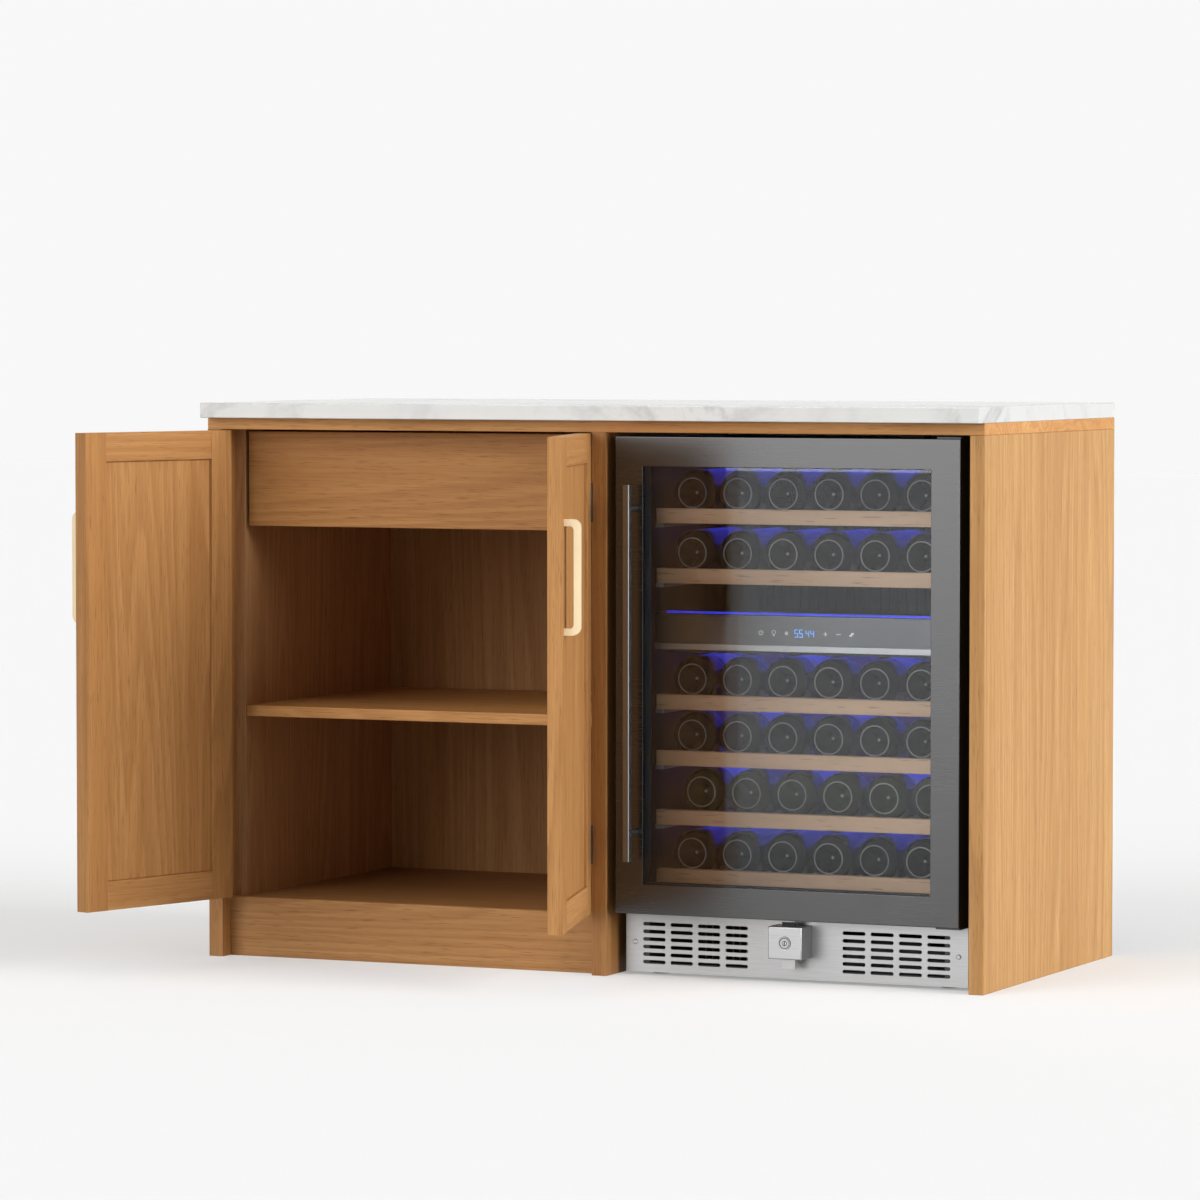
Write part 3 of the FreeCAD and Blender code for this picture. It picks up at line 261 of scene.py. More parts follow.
brushedLook = {"lineNoise": (900, 2.0, 0.6), "cloudNoise": (9, 2.0), "lineRoughness": 0.05, "cloudRoughness": 0.04,
               "bump": (0.02, 0.0002)}


def brushedFinish(name, colour, roughness, run, contrast=0.12, metal=1.0):
    # metal with fine lines along one axis, the colour and the gloss change from line to line
    material, start = newFinish(name)
    look = brushedLook
    lines = speckle(stretched(start, run), *look["lineNoise"])
    cloud = speckle(stretched(start), *look["cloudNoise"])
    tone = blendColours(levels(lines, *evenLevels), times(colour, 1 - contrast), times(colour, 1 + contrast))
    shader = tone.add("ShaderNodeBsdfPrincipled", None, {
        "Base Color": tone, "Metallic": metal,
        "Roughness": roughness + lines * look["lineRoughness"] + cloud * look["cloudRoughness"],
        "Normal": bumped(lines, *look["bump"])})
    closeFinish(start, shader)
    return material


mouldedLook = {"grainDetail": (2.0, 0.6), "cloudNoise": (14, 3.0), "grainRoughness": 0.08, "coatRoughness": 0.05,
               "bumpDepth": 0.0002}


def mouldedFinish(name, colour, roughness, grainScale=1500, change=0.18, coat=0.0, bump=0.06):
    # plastic, rubber or paint: a fine grain in the surface and slow changes of tone
    material, start = newFinish(name)
    look = mouldedLook
    grain = speckle(stretched(start), grainScale, *look["grainDetail"])
    cloud = speckle(stretched(start), *look["cloudNoise"])
    tone = blendColours(levels(cloud, *evenLevels), times(colour, 1 - change), times(colour, 1 + change))
    shader = tone.add("ShaderNodeBsdfPrincipled", None, {
        "Base Color": tone, "Roughness": roughness + grain * look["grainRoughness"], "Coat Weight": coat,
        "Coat Roughness": look["coatRoughness"], "Normal": bumped(grain, bump, look["bumpDepth"])})
    closeFinish(start, shader)
    return material


paneLook = {"tint": (0.955, 0.96, 0.965), "ior": 1.27, "smearRun": (1, 1, 0.4), "smearNoise": (6, 3.0), "smear": 0.012}


def paneFinish(name):
    # clear panes: sight and lamps pass straight through, and the surface mirrors the room
    material, start = newFinish(name)
    smear = speckle(stretched(start, paneLook["smearRun"]), *paneLook["smearNoise"])
    clear = start.add("ShaderNodeBsdfTransparent", None, {"Color": rgb(paneLook["tint"])})
    mirror = start.add("ShaderNodeBsdfGlossy", None, {"Color": grey(1), "Roughness": smear * paneLook["smear"]})
    share = start.add("ShaderNodeFresnel", None, {"IOR": paneLook["ior"]})
    closeFinish(start, start.add("ShaderNodeMixShader", None, {0: share, 1: clear, 2: mirror}))
    return material


glowLook = {"noise": (60, 1.0), "dim": 0.8, "roughness": 0.4}


def glowFinish(name, colour, strength):
    material, start = newFinish(name)
    dots = speckle(stretched(start), *glowLook["noise"])
    tone = blendColours(levels(dots, *evenLevels), times(colour, glowLook["dim"]), colour)
    shader = tone.add("ShaderNodeBsdfPrincipled", None, {
        "Base Color": tone, "Roughness": glowLook["roughness"], "Emission Color": tone,
        "Emission Strength": strength})
    closeFinish(start, shader)
    return material


bottleLook = {"run": (1, 0.3, 1), "noise": (22, 3.0), "dim": 0.6, "roughness": 0.20, "swirlRoughness": 0.10}


def bottleFinish(name, colour, sheen):
    material, start = newFinish(name)
    swirl = speckle(stretched(start, bottleLook["run"]), *bottleLook["noise"])
    tone = blendColours(levels(swirl, *evenLevels), times(colour, bottleLook["dim"]), colour)
    shader = tone.add("ShaderNodeBsdfPrincipled", None, {
        "Base Color": tone, "Roughness": bottleLook["roughness"] + swirl * bottleLook["swirlRoughness"],
        "Specular IOR Level": sheen})
    closeFinish(start, shader)
    return material


boltLook = {"steel": (0.34, 0.34, 0.343), "black": (0.015, 0.015, 0.016), "blackFrom": 0.070, "blend": 0.001,
            "run": (1, 1, 0.02), "noise": (900, 2.0, 0.6), "dim": 0.94, "metal": 0.9, "roughness": 0.32,
            "lineRoughness": 0.1}


def boltFinish(name):
    # the end that goes up into the door is blackened
    material, start = newFinish(name)
    look = boltLook
    height = start.add("ShaderNodeSeparateXYZ", None, {0: objectPlace(start)}, 2)
    lines = speckle(stretched(start, look["run"]), *look["noise"])
    bright = blendColours(levels(lines, *evenLevels), times(look["steel"], look["dim"]), look["steel"])
    tone = blendColours(levels(height, look["blackFrom"] - look["blend"], look["blackFrom"]), bright, look["black"])
    shader = tone.add("ShaderNodeBsdfPrincipled", None, {
        "Base Color": tone, "Metallic": look["metal"], "Roughness": look["roughness"] + lines * look["lineRoughness"]})
    closeFinish(start, shader)
    return material


# pieces: copies of the CAD pieces with their edges eased, and new ones

shapeSettings = {"merge": 0.00001, "flat": 0.5, "sharp": 40, "smoothUpTo": 80, "hair": 0.00004}


def newPiece(name, work, body, finishes, smooth=False):
    mesh = bpy.data.meshes.new(name)
    work.to_mesh(mesh)
    work.free()
    piece = bpy.data.objects.new(name, mesh)
    scene.collection.objects.link(piece)
    for finish in finishes:
        mesh.materials.append(finish)
    if smooth:
        mesh.shade_smooth()
        mesh.set_sharp_from_angle(angle=math.radians(shapeSettings["smoothUpTo"]))
    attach(piece, body)
    return piece


def partFront(work, plane):
    # a front board is moved a hair off the rails that end on its back, so that merging leaves them apart
    hair = shapeSettings["hair"]
    front = [f for f in work.faces if f.calc_center_median().y < plane - hair
             or (f.calc_center_median().y < plane + hair and f.normal.y > 0)]
    bmesh.ops.translate(work, vec=(0, -hair, 0), verts=list({v for f in front for v in f.verts}))


def eased(node, width, finish, segments=2, frontThick=None):
    merge = shapeSettings["merge"]
    work = bmesh.new()
    work.from_mesh(nodes[node].data)
    if frontThick:
        partFront(work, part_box(node)[0].y + frontThick)
    bmesh.ops.remove_doubles(work, verts=work.verts, dist=merge)
    bmesh.ops.dissolve_limit(work, angle_limit=math.radians(shapeSettings["flat"]), verts=work.verts, edges=work.edges)
    sharp = [e for e in work.edges
             if len(e.link_faces) == 2 and e.calc_face_angle() > math.radians(shapeSettings["sharp"])]
    bmesh.ops.bevel(work, geom=sharp, offset=width, offset_type="OFFSET", affect="EDGES", segments=segments,
                    profile=0.5, material=-1, clamp_overlap=True)
    bmesh.ops.remove_doubles(work, verts=work.verts, dist=merge)
    bmesh.ops.dissolve_degenerate(work, edges=work.edges, dist=merge)
    for layer in list(work.loops.layers.uv):
        work.loops.layers.uv.remove(layer)
    for face in work.faces:
        face.material_index = 0
    body = nodes[node]["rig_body"]
    piece = newPiece(node + "_eased", work, body, [finish])
    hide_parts(node)
    return piece


def dress(finish, *names):
    for name in names:
        mesh = nodes[name].data
        mesh.materials.clear()
        mesh.materials.append(finish)


def block(work, low, high):
    # a box between two corners
    made = bmesh.ops.create_cube(work, size=1)
    bmesh.ops.scale(work, vec=[b - a for a, b in zip(low, high)], verts=made["verts"])
    bmesh.ops.translate(work, vec=[(a + b) / 2 for a, b in zip(low, high)], verts=made["verts"])


# cupboard: oak boards

boardSettings = {
    "ease": 0.0012, "shift": (1.37, 0.61, 0.83),
    # run of the grain and tint of each board; a tint is the board's own tone, and some tints also paint light or
    # shade, as said below
    "boards": {
        # middle_panel's tint is darker: a painted shade, that of the open right door
        "left_side_panel": ("up", (1, 1, 1)), "middle_panel": ("up", (0.92, 0.92, 0.92)),
        # right_side_panel's tint is lighter and paler: painted light, the glare of the key light on this side
        "right_side_panel": ("up", (1.22, 1.38, 1.52)), "top_board": ("across", (1.40, 1.44, 1.42)),
        "toe_kick": ("across", (1, 1, 1)), "drawer_front": ("across", (1, 0.96, 0.85)),
        # cupboard_shelf's tint is lighter: painted light against the left door's shade; cupboard_floor's tint is
        # darker: painted shade inside the cupboard
        "cupboard_shelf": ("across", (1.35, 1.4, 1.4)), "cupboard_floor": ("across", (0.74, 0.72, 0.70)),
        "cupboard_back": ("up", (1, 1, 1)), "cupboard_linings": ("up", (1.12, 1.2, 1.5)),
        "drawer_sides": ("deep", (1, 1, 1)), "drawer_back": ("across", (1, 1, 1)),
        "drawer_bottom": ("across", (1, 1, 1)),
    },
}
for index, (node, (grain, tint)) in enumerate(boardSettings["boards"].items()):
    shift = [index * step for step in boardSettings["shift"]]
    eased(node, boardSettings["ease"], oakFinish("oak_" + node, grain, 0.0, shift, tint))

doorSettings = {
    "ease": 0.0012,
    # angle that turns the grain along each door, and the place of its boards in the pattern
    "left": {"turn": 106.7, "stiles": (4.2, 0.0, 1.86), "rails": (3.5, 0.0, 1.55), "panel": (3.5, 0.0, 1.55)},
    "right": {"turn": 73.3, "stiles": (6.5, 1.1, 1.86), "rails": (5.8, 1.1, 1.55), "panel": (5.8, 1.1, 1.55)},
}
for side in ("left", "right"):
    turn = math.radians(doorSettings[side]["turn"])
    for part, grain in (("stiles", "up"), ("rails", "across"), ("panel", "up")):
        node = "%s_door_%s" % (side, part)
        eased(node, doorSettings["ease"], oakFinish("oak_" + node, grain, turn, doorSettings[side][part]))
print("boards done")

# stone top

stoneSettings = {"ease": 0.0012}
eased("stone_top", stoneSettings["ease"], marbleFinish("white_marble"))

# fittings and cooler: finishes worn by the CAD pieces as they are

metalSettings = {
    # colour, roughness, run of the lines, contrast, metal
    "black_hinge": ((0.02, 0.02, 0.022), 0.42, (1, 1, 0.05), 0.3, 0.6),
    "zinc_runner": ((0.55, 0.56, 0.58), 0.3, (1, 0.05, 1)),
    "dark_door_steel": ((0.078, 0.078, 0.079), 0.22, (0.02, 1, 1), 0.04),
    "handle_steel": ((0.17, 0.17, 0.173), 0.28, (1, 1, 0.02), 0.08),
    "bracket_steel": ((0.05, 0.05, 0.052), 0.4, (0.05, 1, 1)),
    "plate_steel": ((0.30, 0.30, 0.301), 0.32, (0.02, 1, 1), 0.06),
    "lock_steel": ((0.345, 0.345, 0.348), 0.28, (0.02, 1, 1), 0.06),
    "lock_ring_dark": ((0.05, 0.05, 0.052), 0.4, (1, 1, 1), 0.2),
    "fascia_satin": ((0.090, 0.090, 0.091), 0.26, (0.02, 1, 1), 0.05),
    # condenser and evaporator fins are darkened: a painted shade, so that they stay dark behind the kick plate's slots
    "shade_dark_fins": ((0.10, 0.10, 0.105), 0.4, (1, 0.1, 0.1)),
}
mouldedSettings = {
    # colour, roughness, scale of the grain, change of tone, coat, bump
    "cream_lacquer": ((0.80, 0.64, 0.40), 0.34, 900, 0.03, 0.2, 0.02),
    "pane_rim": ((0.02, 0.024, 0.024), 0.4),
    "black_case": ((0.010, 0.010, 0.011), 0.55),
    "black_inner_plastic": ((0.008, 0.008, 0.009), 0.6),
    "ribbed_duct_plastic": ((0.016, 0.016, 0.018), 0.5),
    "door_seal": ((0.012, 0.012, 0.012), 0.6, 700),
    "rubber_foot": ((0.015, 0.015, 0.015), 0.7, 600),
    "grey_runner_plastic": ((0.28, 0.285, 0.29), 0.5),
    "black_enamel": ((0.012, 0.012, 0.012), 0.3, 900, 0.2, 0.3),
    "fan_plastic": ((0.03, 0.03, 0.032), 0.45),
    # a lighter grey for the ring and centre dot on each bottle's base: a painted highlight
    "bottle_rim_painted_highlight": ((0.20, 0.20, 0.205), 0.35, 400, 0.25),
    "bottle_capsule": ((0.05, 0.01, 0.012), 0.35, 300, 0.2),
}
finishes = {name: brushedFinish(name, *values) for name, values in metalSettings.items()}
finishes.update({name: mouldedFinish(name, *values) for name, values in mouldedSettings.items()})
wornBy = {
    "cream_lacquer": ("left_door_pull", "right_door_pull"),
    "black_hinge": ("left_door_hinge_leaves", "right_door_hinge_leaves", "cupboard_hinge_frame_leaves"),
    "zinc_runner": ("drawer_channels", "drawer_slides", "shelf_pins"),
    "handle_steel": ("cooler_door_handle",),
    "bracket_steel": ("cooler_hinge_brackets",),
    "black_case": ("cooler_walls", "cooler_floor", "cooler_base"),
    "black_inner_plastic": ("cooler_door_inner_frame", "mains_inlet"),
    "ribbed_duct_plastic": ("duct_covers",),
    "door_seal": ("cooler_door_gasket",),
    "rubber_foot": ("cooler_feet",),
    "plate_steel": ("kick_plate", "kick_plate_screws"),
    "lock_steel": ("lock_cylinder",),
    "grey_runner_plastic": ("rack_runners",),
    "fascia_satin": ("control_display", "zone_divider"),
    "black_enamel": ("compressor",),
    # fins darkened as painted shade
    "shade_dark_fins": ("condenser", "evaporator"),
    "fan_plastic": ("condenser_fan", "evaporator_fan"),
}
for name, wearers in wornBy.items():
    dress(finishes[name], *wearers)
dress(boltFinish("lock_bolt_finish"), "lock_bolt")

# cooler: door

coolerDoorSettings = {"frameEase": 0.0006, "paneEase": 0.0003, "paneFace": 0.98}
eased("cooler_door_frame", coolerDoorSettings["frameEase"], finishes["dark_door_steel"])
panes = eased("cooler_door_panes", coolerDoorSettings["paneEase"], paneFinish("door_glass"))
panes.data.materials.append(finishes["pane_rim"])
for face in panes.data.polygons:
    face.material_index = 0 if abs(face.normal.y) > coolerDoorSettings["paneFace"] else 1

# lock: block, and the rings turned on the key face

lockSettings = {"ease": 0.0010, "easeSteps": 3, "x": 0.3235, "z": 0.067, "proud": 0.0004, "sink": 0.0002, "steps": 48,
                "rings": ((0.0076, 0.0088), (0.0034, 0.0042))}      # inner and outer radius
eased("lock_housing", lockSettings["ease"], finishes["lock_steel"], lockSettings["easeSteps"])


def turnedRing(work, inner, outer, low, high):
    # a flat ring about the key's axis between two depths
    x, z = lockSettings["x"], lockSettings["z"]
    corners = [work.verts.new((x + radius, y, z))
               for radius, y in ((inner, low), (outer, low), (outer, high), (inner, high))]
    sides = [work.edges.new(pair) for pair in zip(corners, corners[1:] + corners[:1])]
    bmesh.ops.spin(work, geom=corners + sides, cent=(x, 0, z), axis=(0, 1, 0), dvec=(0, 0, 0), angle=math.tau,
                   steps=lockSettings["steps"], use_merge=True, use_duplicate=False)


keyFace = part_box("lock_cylinder")[0].y
work = bmesh.new()
for inner, outer in lockSettings["rings"]:
    turnedRing(work, inner, outer, keyFace - lockSettings["proud"], keyFace + lockSettings["sink"])
bmesh.ops.recalc_face_normals(work, faces=work.faces)
newPiece("key_face_rings", work, "lock_cylinder", [finishes["lock_ring_dark"]])

# light strips, of which the lower one is off, and racks

stripSettings = {"ease": 0.0003, "colour": (0.02, 0.035, 0.75), "strength": 0.9, "offBelow": 0.02}
strips = eased("light_strips", stripSettings["ease"],
               glowFinish("blue_strip", stripSettings["colour"], stripSettings["strength"]))
strips.data.materials.append(finishes["black_inner_plastic"])
for face in strips.data.polygons:
    if face.center.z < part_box("zone_divider")[0].z + stripSettings["offBelow"]:
        face.material_index = 1

rackSettings = {"count": 6, "ease": 0.0008, "frontThick": 0.018, "shift": (1.7, 0.4, 1)}
rackTops = {}
for number in range(1, rackSettings["count"] + 1):
    node = "wine_rack_%d" % number
    rackTops[number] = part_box(node)[1].z
    finish = beechFinish("beech_rack_%d" % number, [number * step for step in rackSettings["shift"]])
    eased(node, rackSettings["ease"], finish, frontThick=rackSettings["frontThick"])
print("cooler done")

# bottles lying on the racks, bases to the front

bottleSettings = {
    "count": 6, "pitch": 0.079, "firstX": 0.126, "baseY": -0.2215, "lift": 0.0247, "steps": 40, "merge": 0.00002,
    "greenRow": 5, "greenShift": 0.016, "greenLift": 0.0292, "labelledRows": (3, 4, 5),
    "glassSheen": 0.5, "dark": (0.022, 0.024, 0.030), "green": (0.030, 0.040, 0.016),
    "baseSheen": 0.25, "base": (0.016, 0.016, 0.017),
    # along the bottle from its base: radius, place, finish of the band that follows; finish 2 is a lighter grey for
    # the ring and the centre dot of the base, a painted highlight
    "outline": ((0.0, 0.0185, 2), (0.0026, 0.0195, 1), (0.006, 0.0225, 1), (0.014, 0.0145, 1), (0.020, 0.005, 1),
                (0.0228, 0.0008, 2), (0.0240, 0.0, 2), (0.0251, 0.0008, 1), (0.0340, 0.0068, 0), (0.0366, 0.014, 0),
                (0.0370, 0.022, 0), (0.0370, 0.175, 0), (0.0355, 0.192, 0), (0.027, 0.214, 0),
                (0.0175, 0.232, 0), (0.0150, 0.246, 0), (0.0142, 0.282, 3), (0.0152, 0.284, 3),
                (0.0152, 0.299, 3), (0.0, 0.300, 3)),
}
labelSettings = {
    "radii": (0.0368, 0.0373), "from": 0.062, "to": 0.142, "halfAngle": 62, "steps": 14,
    "finish": (0.65, 500, 0.12),                            # roughness, scale of the grain, change of tone
    "tones": ((0.42, 0.07, 0.05), (0.62, 0.58, 0.50), (0.30, 0.05, 0.10), (0.55, 0.50, 0.42)),
}
darkGlass = bottleFinish("dark_bottle_glass", bottleSettings["dark"], bottleSettings["glassSheen"])
greenGlass = bottleFinish("green_bottle_glass", bottleSettings["green"], bottleSettings["glassSheen"])
baseGlass = bottleFinish("bottle_base_glass", bottleSettings["base"], bottleSettings["baseSheen"])
labelFinishes = [mouldedFinish("bottle_label_%d" % index, tone, *labelSettings["finish"])
                 for index, tone in enumerate(labelSettings["tones"])]


def bottle(work, x, z):
    radii, places, bands = zip(*bottleSettings["outline"])
    points = [work.verts.new((radius, place, 0)) for radius, place in zip(radii, places)]
    edges = [work.edges.new(pair) for pair in zip(points, points[1:])]
    before = set(work.faces)
    bmesh.ops.spin(work, geom=points + edges, cent=(0, 0, 0), axis=(0, 1, 0), dvec=(0, 0, 0),
                   angle=math.tau, steps=bottleSettings["steps"], use_merge=True, use_duplicate=False)
    verts = list({v for f in work.faces if f not in before for v in f.verts})
    bmesh.ops.remove_doubles(work, verts=verts, dist=bottleSettings["merge"])
    faces = [f for f in work.faces if f not in before]
    for face in faces:
        middle = face.calc_center_median()
        reach = math.hypot(middle.x, middle.z)
        nearest = min(range(len(places) - 1), key=lambda i: abs((places[i] + places[i + 1]) / 2 - middle.y)
                      + abs((radii[i] + radii[i + 1]) / 2 - reach))
        face.material_index = bands[nearest]
    bmesh.ops.recalc_face_normals(work, faces=faces)
    verts = list({v for f in faces for v in f.verts})
    bmesh.ops.translate(work, vec=(x, bottleSettings["baseY"], z), verts=verts)


def label(work, x, z, finish):
    # a strip of paper around the upper side of a bottle
    half = math.radians(labelSettings["halfAngle"])
    inner, outer = labelSettings["radii"]
    start = bottleSettings["baseY"] + labelSettings["from"]
    end = bottleSettings["baseY"] + labelSettings["to"]
    corners = [work.verts.new((-math.sin(half) * radius, y, math.cos(half) * radius))
               for radius, y in ((inner, start), (outer, start), (outer, end), (inner, end))]
    before = set(work.faces)
    cap = work.faces.new(corners)
    bmesh.ops.spin(work, geom=[cap] + list(cap.edges) + corners, cent=(0, 0, 0), axis=(0, 1, 0), dvec=(0, 0, 0),
                   angle=half * 2, steps=labelSettings["steps"], use_merge=False, use_duplicate=False)
    faces = [f for f in work.faces if f not in before]
    for face in faces:
        face.material_index = finish
    bmesh.ops.recalc_face_normals(work, faces=faces)
    bmesh.ops.translate(work, vec=(x, 0, z), verts=list({v for f in faces for v in f.verts}))


for number, top in rackTops.items():
    green = number == bottleSettings["greenRow"]
    firstX = bottleSettings["firstX"] + (bottleSettings["greenShift"] if green else 0)
    height = top + (bottleSettings["greenLift"] if green else bottleSettings["lift"])
    places = [firstX + bottleSettings["pitch"] * index for index in range(bottleSettings["count"])]
    work = bmesh.new()
    for x in places:
        bottle(work, x, height)
    glasses = [greenGlass, greenGlass] if green else [darkGlass, baseGlass]
    rowFinishes = glasses + [finishes["bottle_rim_painted_highlight"], finishes["bottle_capsule"]]
    newPiece("bottles_row_%d" % number, work, "cabinet", rowFinishes, True)
    if number in bottleSettings["labelledRows"]:
        work = bmesh.new()
        for index, x in enumerate(places):
            label(work, x, height, (index + number) % len(labelFinishes))
        newPiece("bottle_labels_row_%d" % number, work, "cabinet", labelFinishes, True)
print("bottles done")

# control panel: lit digits, signs, and the bright lip below

panelSettings = {
    "height": 0.5565, "size": 0.0048, "stroke": 0.0008, "proud": 0.00025, "ringSteps": 28,
    "signColour": (0.80, 0.82, 0.85), "signStrength": 0.35, "digitColour": (0.12, 0.38, 1.0), "digitStrength": 1.6,
    "digits": "5544", "digitsX": (0.3165, 0.3248, 0.3358, 0.3441), "digitWide": 0.0058, "digitTall": 0.0125,
    "segmentGap": 0.0002, "segmentsOn": {"5": "afgcd", "4": "fgbc"},
    # places of the signs, their parts in shares of the sign size
    "powerX": 0.2556, "powerRadius": 0.8, "powerGap": 70,
    "bulbX": 0.2778, "bulbRise": 0.25, "bulbRadius": 0.72, "capHalf": 0.3, "capTop": 0.65,
    "dropX": 0.2998, "dropRadius": 0.55, "plusX": 0.3665, "minusX": 0.3890, "armLong": 0.8,
    "lightX": 0.4115, "barOuter": (0.75, 0.55), "barInner": (0.15, 0.05),
}
signFinish = glowFinish("sign_white", panelSettings["signColour"], panelSettings["signStrength"])
digitFinish = glowFinish("digit_blue", panelSettings["digitColour"], panelSettings["digitStrength"])
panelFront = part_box("control_display")[0].y
signFace = (panelFront - panelSettings["proud"], panelFront)
z, size, thick = panelSettings["height"], panelSettings["size"], panelSettings["stroke"]


def stroke(work, low, high):
    # a flat mark on the display between two corners given as (x, z)
    block(work, (low[0], signFace[0], low[1]), (high[0], signFace[1], high[1]))


def hoop(work, x, z, radius, gap=0.0):
    # a ring, open at the top by the angle gap
    inner = radius - thick
    start = math.radians(90) + gap / 2
    ends = [work.verts.new((x + math.cos(start) * r, y, z + math.sin(start) * r))
            for r, y in ((inner, signFace[0]), (radius, signFace[0]), (radius, signFace[1]), (inner, signFace[1]))]
    sides = [work.edges.new(pair) for pair in zip(ends, ends[1:] + ends[:1])]
    caps = [work.faces.new(ends)] if gap else []                    # only an open ring has ends to close
    bmesh.ops.spin(work, geom=caps + sides + ends, cent=(x, 0, z), axis=(0, -1, 0), dvec=(0, 0, 0),
                   angle=math.tau - gap, steps=panelSettings["ringSteps"], use_merge=gap == 0, use_duplicate=False)


def powerSign(work):
    x = panelSettings["powerX"]
    hoop(work, x, z, size * panelSettings["powerRadius"], math.radians(panelSettings["powerGap"]))
    stroke(work, (x - thick / 2, z), (x + thick / 2, z + size))


def bulbSign(work):
    x, half = panelSettings["bulbX"], size * panelSettings["capHalf"]
    hoop(work, x, z + size * panelSettings["bulbRise"], size * panelSettings["bulbRadius"])
    stroke(work, (x - half, z - size), (x + half, z - size * panelSettings["capTop"]))


def dropSign(work):
    x = panelSettings["dropX"]
    hoop(work, x, z, size * panelSettings["dropRadius"])
    stroke(work, (x - thick, z - thick), (x + thick, z + thick))


def plusMinus(work):
    arm = size * panelSettings["armLong"]
    for x in (panelSettings["plusX"], panelSettings["minusX"]):
        stroke(work, (x - arm, z - thick / 2), (x + arm, z + thick / 2))
    x = panelSettings["plusX"]
    stroke(work, (x - thick / 2, z + thick / 2), (x + thick / 2, z + arm))
    stroke(work, (x - thick / 2, z - arm), (x + thick / 2, z - thick / 2))


def lightSign(work):
    # two bars, one up and to the right of the other
    x = panelSettings["lightX"]
    outerX, outerZ = [size * share for share in panelSettings["barOuter"]]
    innerX, innerZ = [size * share for share in panelSettings["barInner"]]
    stroke(work, (x - outerX, z - outerZ), (x + innerX, z - innerZ))
    stroke(work, (x - innerX, z + innerZ), (x + outerX, z + outerZ))


def digit(work, x, sign):
    wide, tall, gap = panelSettings["digitWide"], panelSettings["digitTall"], panelSettings["segmentGap"]
    left, right, low, high = x - wide / 2, x + wide / 2, z - tall / 2, z + tall / 2
    upper = (z + thick / 2 + gap, high - thick - gap)
    lower = (low + thick + gap, z - thick / 2 - gap)
    places = {"a": ((left, high - thick), (right, high)), "d": ((left, low), (right, low + thick)),
              "g": ((left, z - thick / 2), (right, z + thick / 2)),
              "f": ((left, upper[0]), (left + thick, upper[1])), "b": ((right - thick, upper[0]), (right, upper[1])),
              "c": ((right - thick, lower[0]), (right, lower[1]))}
    for name in panelSettings["segmentsOn"][sign]:
        stroke(work, *places[name])


signs = bmesh.new()
for sign in (powerSign, bulbSign, dropSign, plusMinus, lightSign):
    sign(signs)
bmesh.ops.recalc_face_normals(signs, faces=signs.faces)
newPiece("panel_signs", signs, "cabinet", [signFinish])
numbers = bmesh.new()
for x, sign in zip(panelSettings["digitsX"], panelSettings["digits"]):
    digit(numbers, x, sign)
newPiece("panel_digits", numbers, "cabinet", [digitFinish])

lipSettings = {"low": 0.5262, "high": 0.5362, "proud": 0.0016, "inset": 0.001, "ease": 0.0006}
fasciaLow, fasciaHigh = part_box("zone_divider")
lip = bmesh.new()
block(lip, (fasciaLow.x + lipSettings["inset"], fasciaLow.y - lipSettings["proud"], lipSettings["low"]),
      (fasciaHigh.x - lipSettings["inset"], fasciaLow.y, lipSettings["high"]))
bmesh.ops.bevel(lip, geom=list(lip.edges), offset=lipSettings["ease"], affect="EDGES", segments=2, profile=0.5,
                material=-1)
newPiece("fascia_lip", lip, "cabinet", [finishes["plate_steel"]])
print("control panel done")

# floor, light and camera

stageSettings = {"half": 30.0, "floor": 0.60, "floorGlow": 0.32, "floorBounce": 0.38, "back": 0.94,
                 "roomDiffuse": 0.28, "screen": 0.5, "screenTowards": (-0.38, -0.92, 0.05), "screenEdge": (0.55, 0.85),
                 "screenFloor": (-2.0, -4.0)}
diffuseRay, glossyRay = 2, 3            # outputs of the Light Path node


def lightPath(start, kind):
    return start.add("ShaderNodeLightPath", None, None, kind)


def stageFloor():
    # diffuse rays see a dimmer floor, and mirrors see the far floor as lit as the screen
    material, start = newFinish("pale_floor")
    pale = start.add("ShaderNodeBsdfDiffuse", None, {"Color": grey(stageSettings["floor"])})
    away = start.add("ShaderNodeSeparateXYZ", None, {0: objectPlace(start)}, 1)
    mirrored = levels(away, *stageSettings["screenFloor"]) * lightPath(start, glossyRay)
    glow = start.add("ShaderNodeEmission", None, {
        "Strength": mirrored * stageSettings["screen"] + stageSettings["floorGlow"]})
    lit = start.add("ShaderNodeAddShader", None, {0: pale, 1: glow})
    dim = start.add("ShaderNodeBsdfDiffuse", None, {"Color": grey(stageSettings["floorBounce"])})
    closeFinish(start, start.add("ShaderNodeMixShader", None, {0: lightPath(start, diffuseRay), 1: lit, 2: dim}))
    work = bmesh.new()
    bmesh.ops.create_grid(work, x_segments=2, y_segments=2, size=stageSettings["half"])
    mesh = bpy.data.meshes.new("floor")
    work.to_mesh(mesh)
    work.free()
    mesh.materials.append(material)
    floor = bpy.data.objects.new("floor", mesh)
    scene.collection.objects.link(floor)


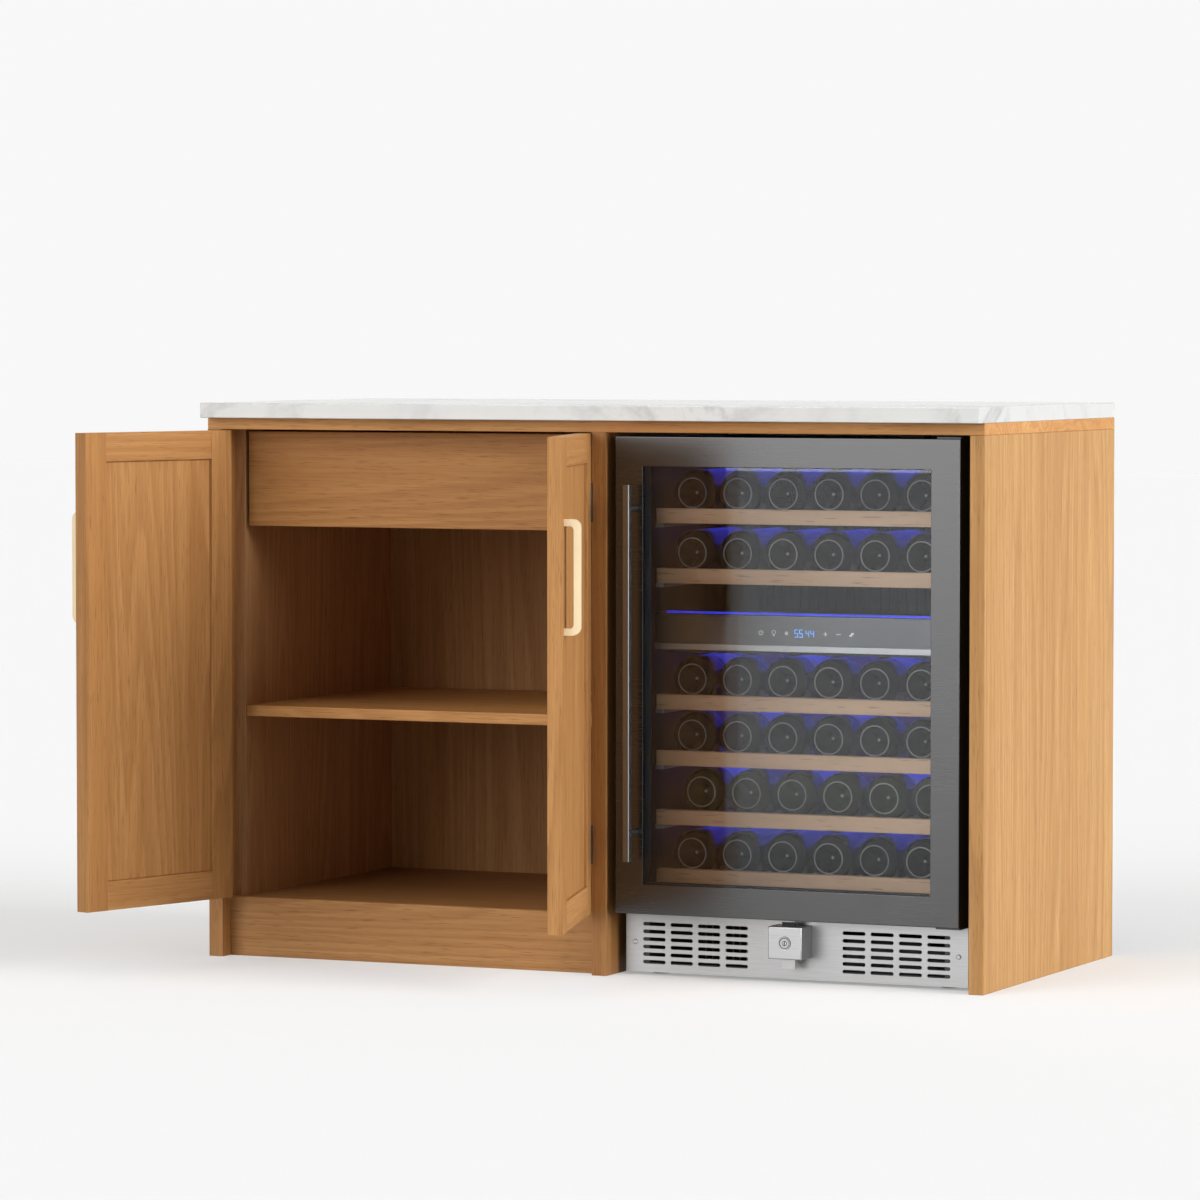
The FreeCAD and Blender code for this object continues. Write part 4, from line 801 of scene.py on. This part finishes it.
def room():
    # a white room, dimmer for diffuse rays, with a brighter screen at the front left that only mirrors show
    world = bpy.data.worlds.new("studio")
    world.use_nodes = True
    world.node_tree.nodes.clear()
    start = Wire(world.node_tree)
    place = start.add("ShaderNodeTexCoord", None, None, 0)
    facing = place.add("ShaderNodeVectorMath", {"operation": "DOT_PRODUCT"},
                       {0: place, 1: stageSettings["screenTowards"]}, 1)
    mirrored = levels(facing, *stageSettings["screenEdge"]) * lightPath(start, glossyRay)
    white = grey(stageSettings["back"])
    bright = start.add("ShaderNodeBackground", None, {
        "Color": white, "Strength": mirrored * stageSettings["screen"] + 1})
    soft = start.add("ShaderNodeBackground", None, {"Color": white, "Strength": stageSettings["roomDiffuse"]})
    mixed = start.add("ShaderNodeMixShader", None, {0: lightPath(start, diffuseRay), 1: bright, 2: soft})
    start.add("ShaderNodeOutputWorld", None, {"Surface": mixed})
    scene.world = world


sunSettings = (
    # name, direction towards the light, strength, width of the sun in degrees
    ("key", (0.96, -0.14, 0.25), 3.9, 40),
    ("over", (0.00, -0.20, 0.98), 0.8, 60),
    ("fill", (-0.45, -0.85, 0.30), 2.0, 50),
)


def suns():
    for name, towards, strength, width in sunSettings:
        lamp = bpy.data.lights.new(name, "SUN")
        lamp.energy = strength
        lamp.angle = math.radians(width)
        holder = bpy.data.objects.new(name, lamp)
        holder.rotation_euler = Vector(towards).to_track_quat("Z", "Y").to_euler()
        scene.collection.objects.link(holder)


glowSettings = {"power": 0.20, "colour": (0.04, 0.06, 1.0), "wide": 0.46, "deep": 0.14, "x": 0.3235, "y": -0.09,
                "lift": 0.0675}


def coolerGlow():
    # one blue lamp over each row of bottles, behind the front
    for number, top in rackTops.items():
        lamp = bpy.data.lights.new("glow_%d" % number, "AREA")
        lamp.shape = "RECTANGLE"
        lamp.size = glowSettings["wide"]
        lamp.size_y = glowSettings["deep"]
        lamp.energy = glowSettings["power"]
        lamp.color = glowSettings["colour"]
        holder = bpy.data.objects.new("glow_%d" % number, lamp)
        holder.location = (glowSettings["x"], glowSettings["y"], top + glowSettings["lift"])
        scene.collection.objects.link(holder)


cameraSettings = {"place": (3.72689, -8.57988, 1.04425), "pitch": -2.7617, "yaw": 24.2419, "focalPixels": 5652.3,
                  "imageSide": 1200, "sensor": 36.0, "sight": 200}


def camera():
    data = bpy.data.cameras.new("camera")
    data.sensor_width = cameraSettings["sensor"]
    data.lens = cameraSettings["sensor"] * cameraSettings["focalPixels"] / cameraSettings["imageSide"]
    data.clip_end = cameraSettings["sight"]
    holder = bpy.data.objects.new("camera", data)
    holder.location = cameraSettings["place"]
    holder.rotation_euler = (math.radians(90 + cameraSettings["pitch"]), 0, math.radians(cameraSettings["yaw"]))
    scene.collection.objects.link(holder)
    scene.camera = holder


stageFloor()
room()
suns()
coolerGlow()
camera()
scene.view_settings.view_transform = "Standard"
print("stage done")
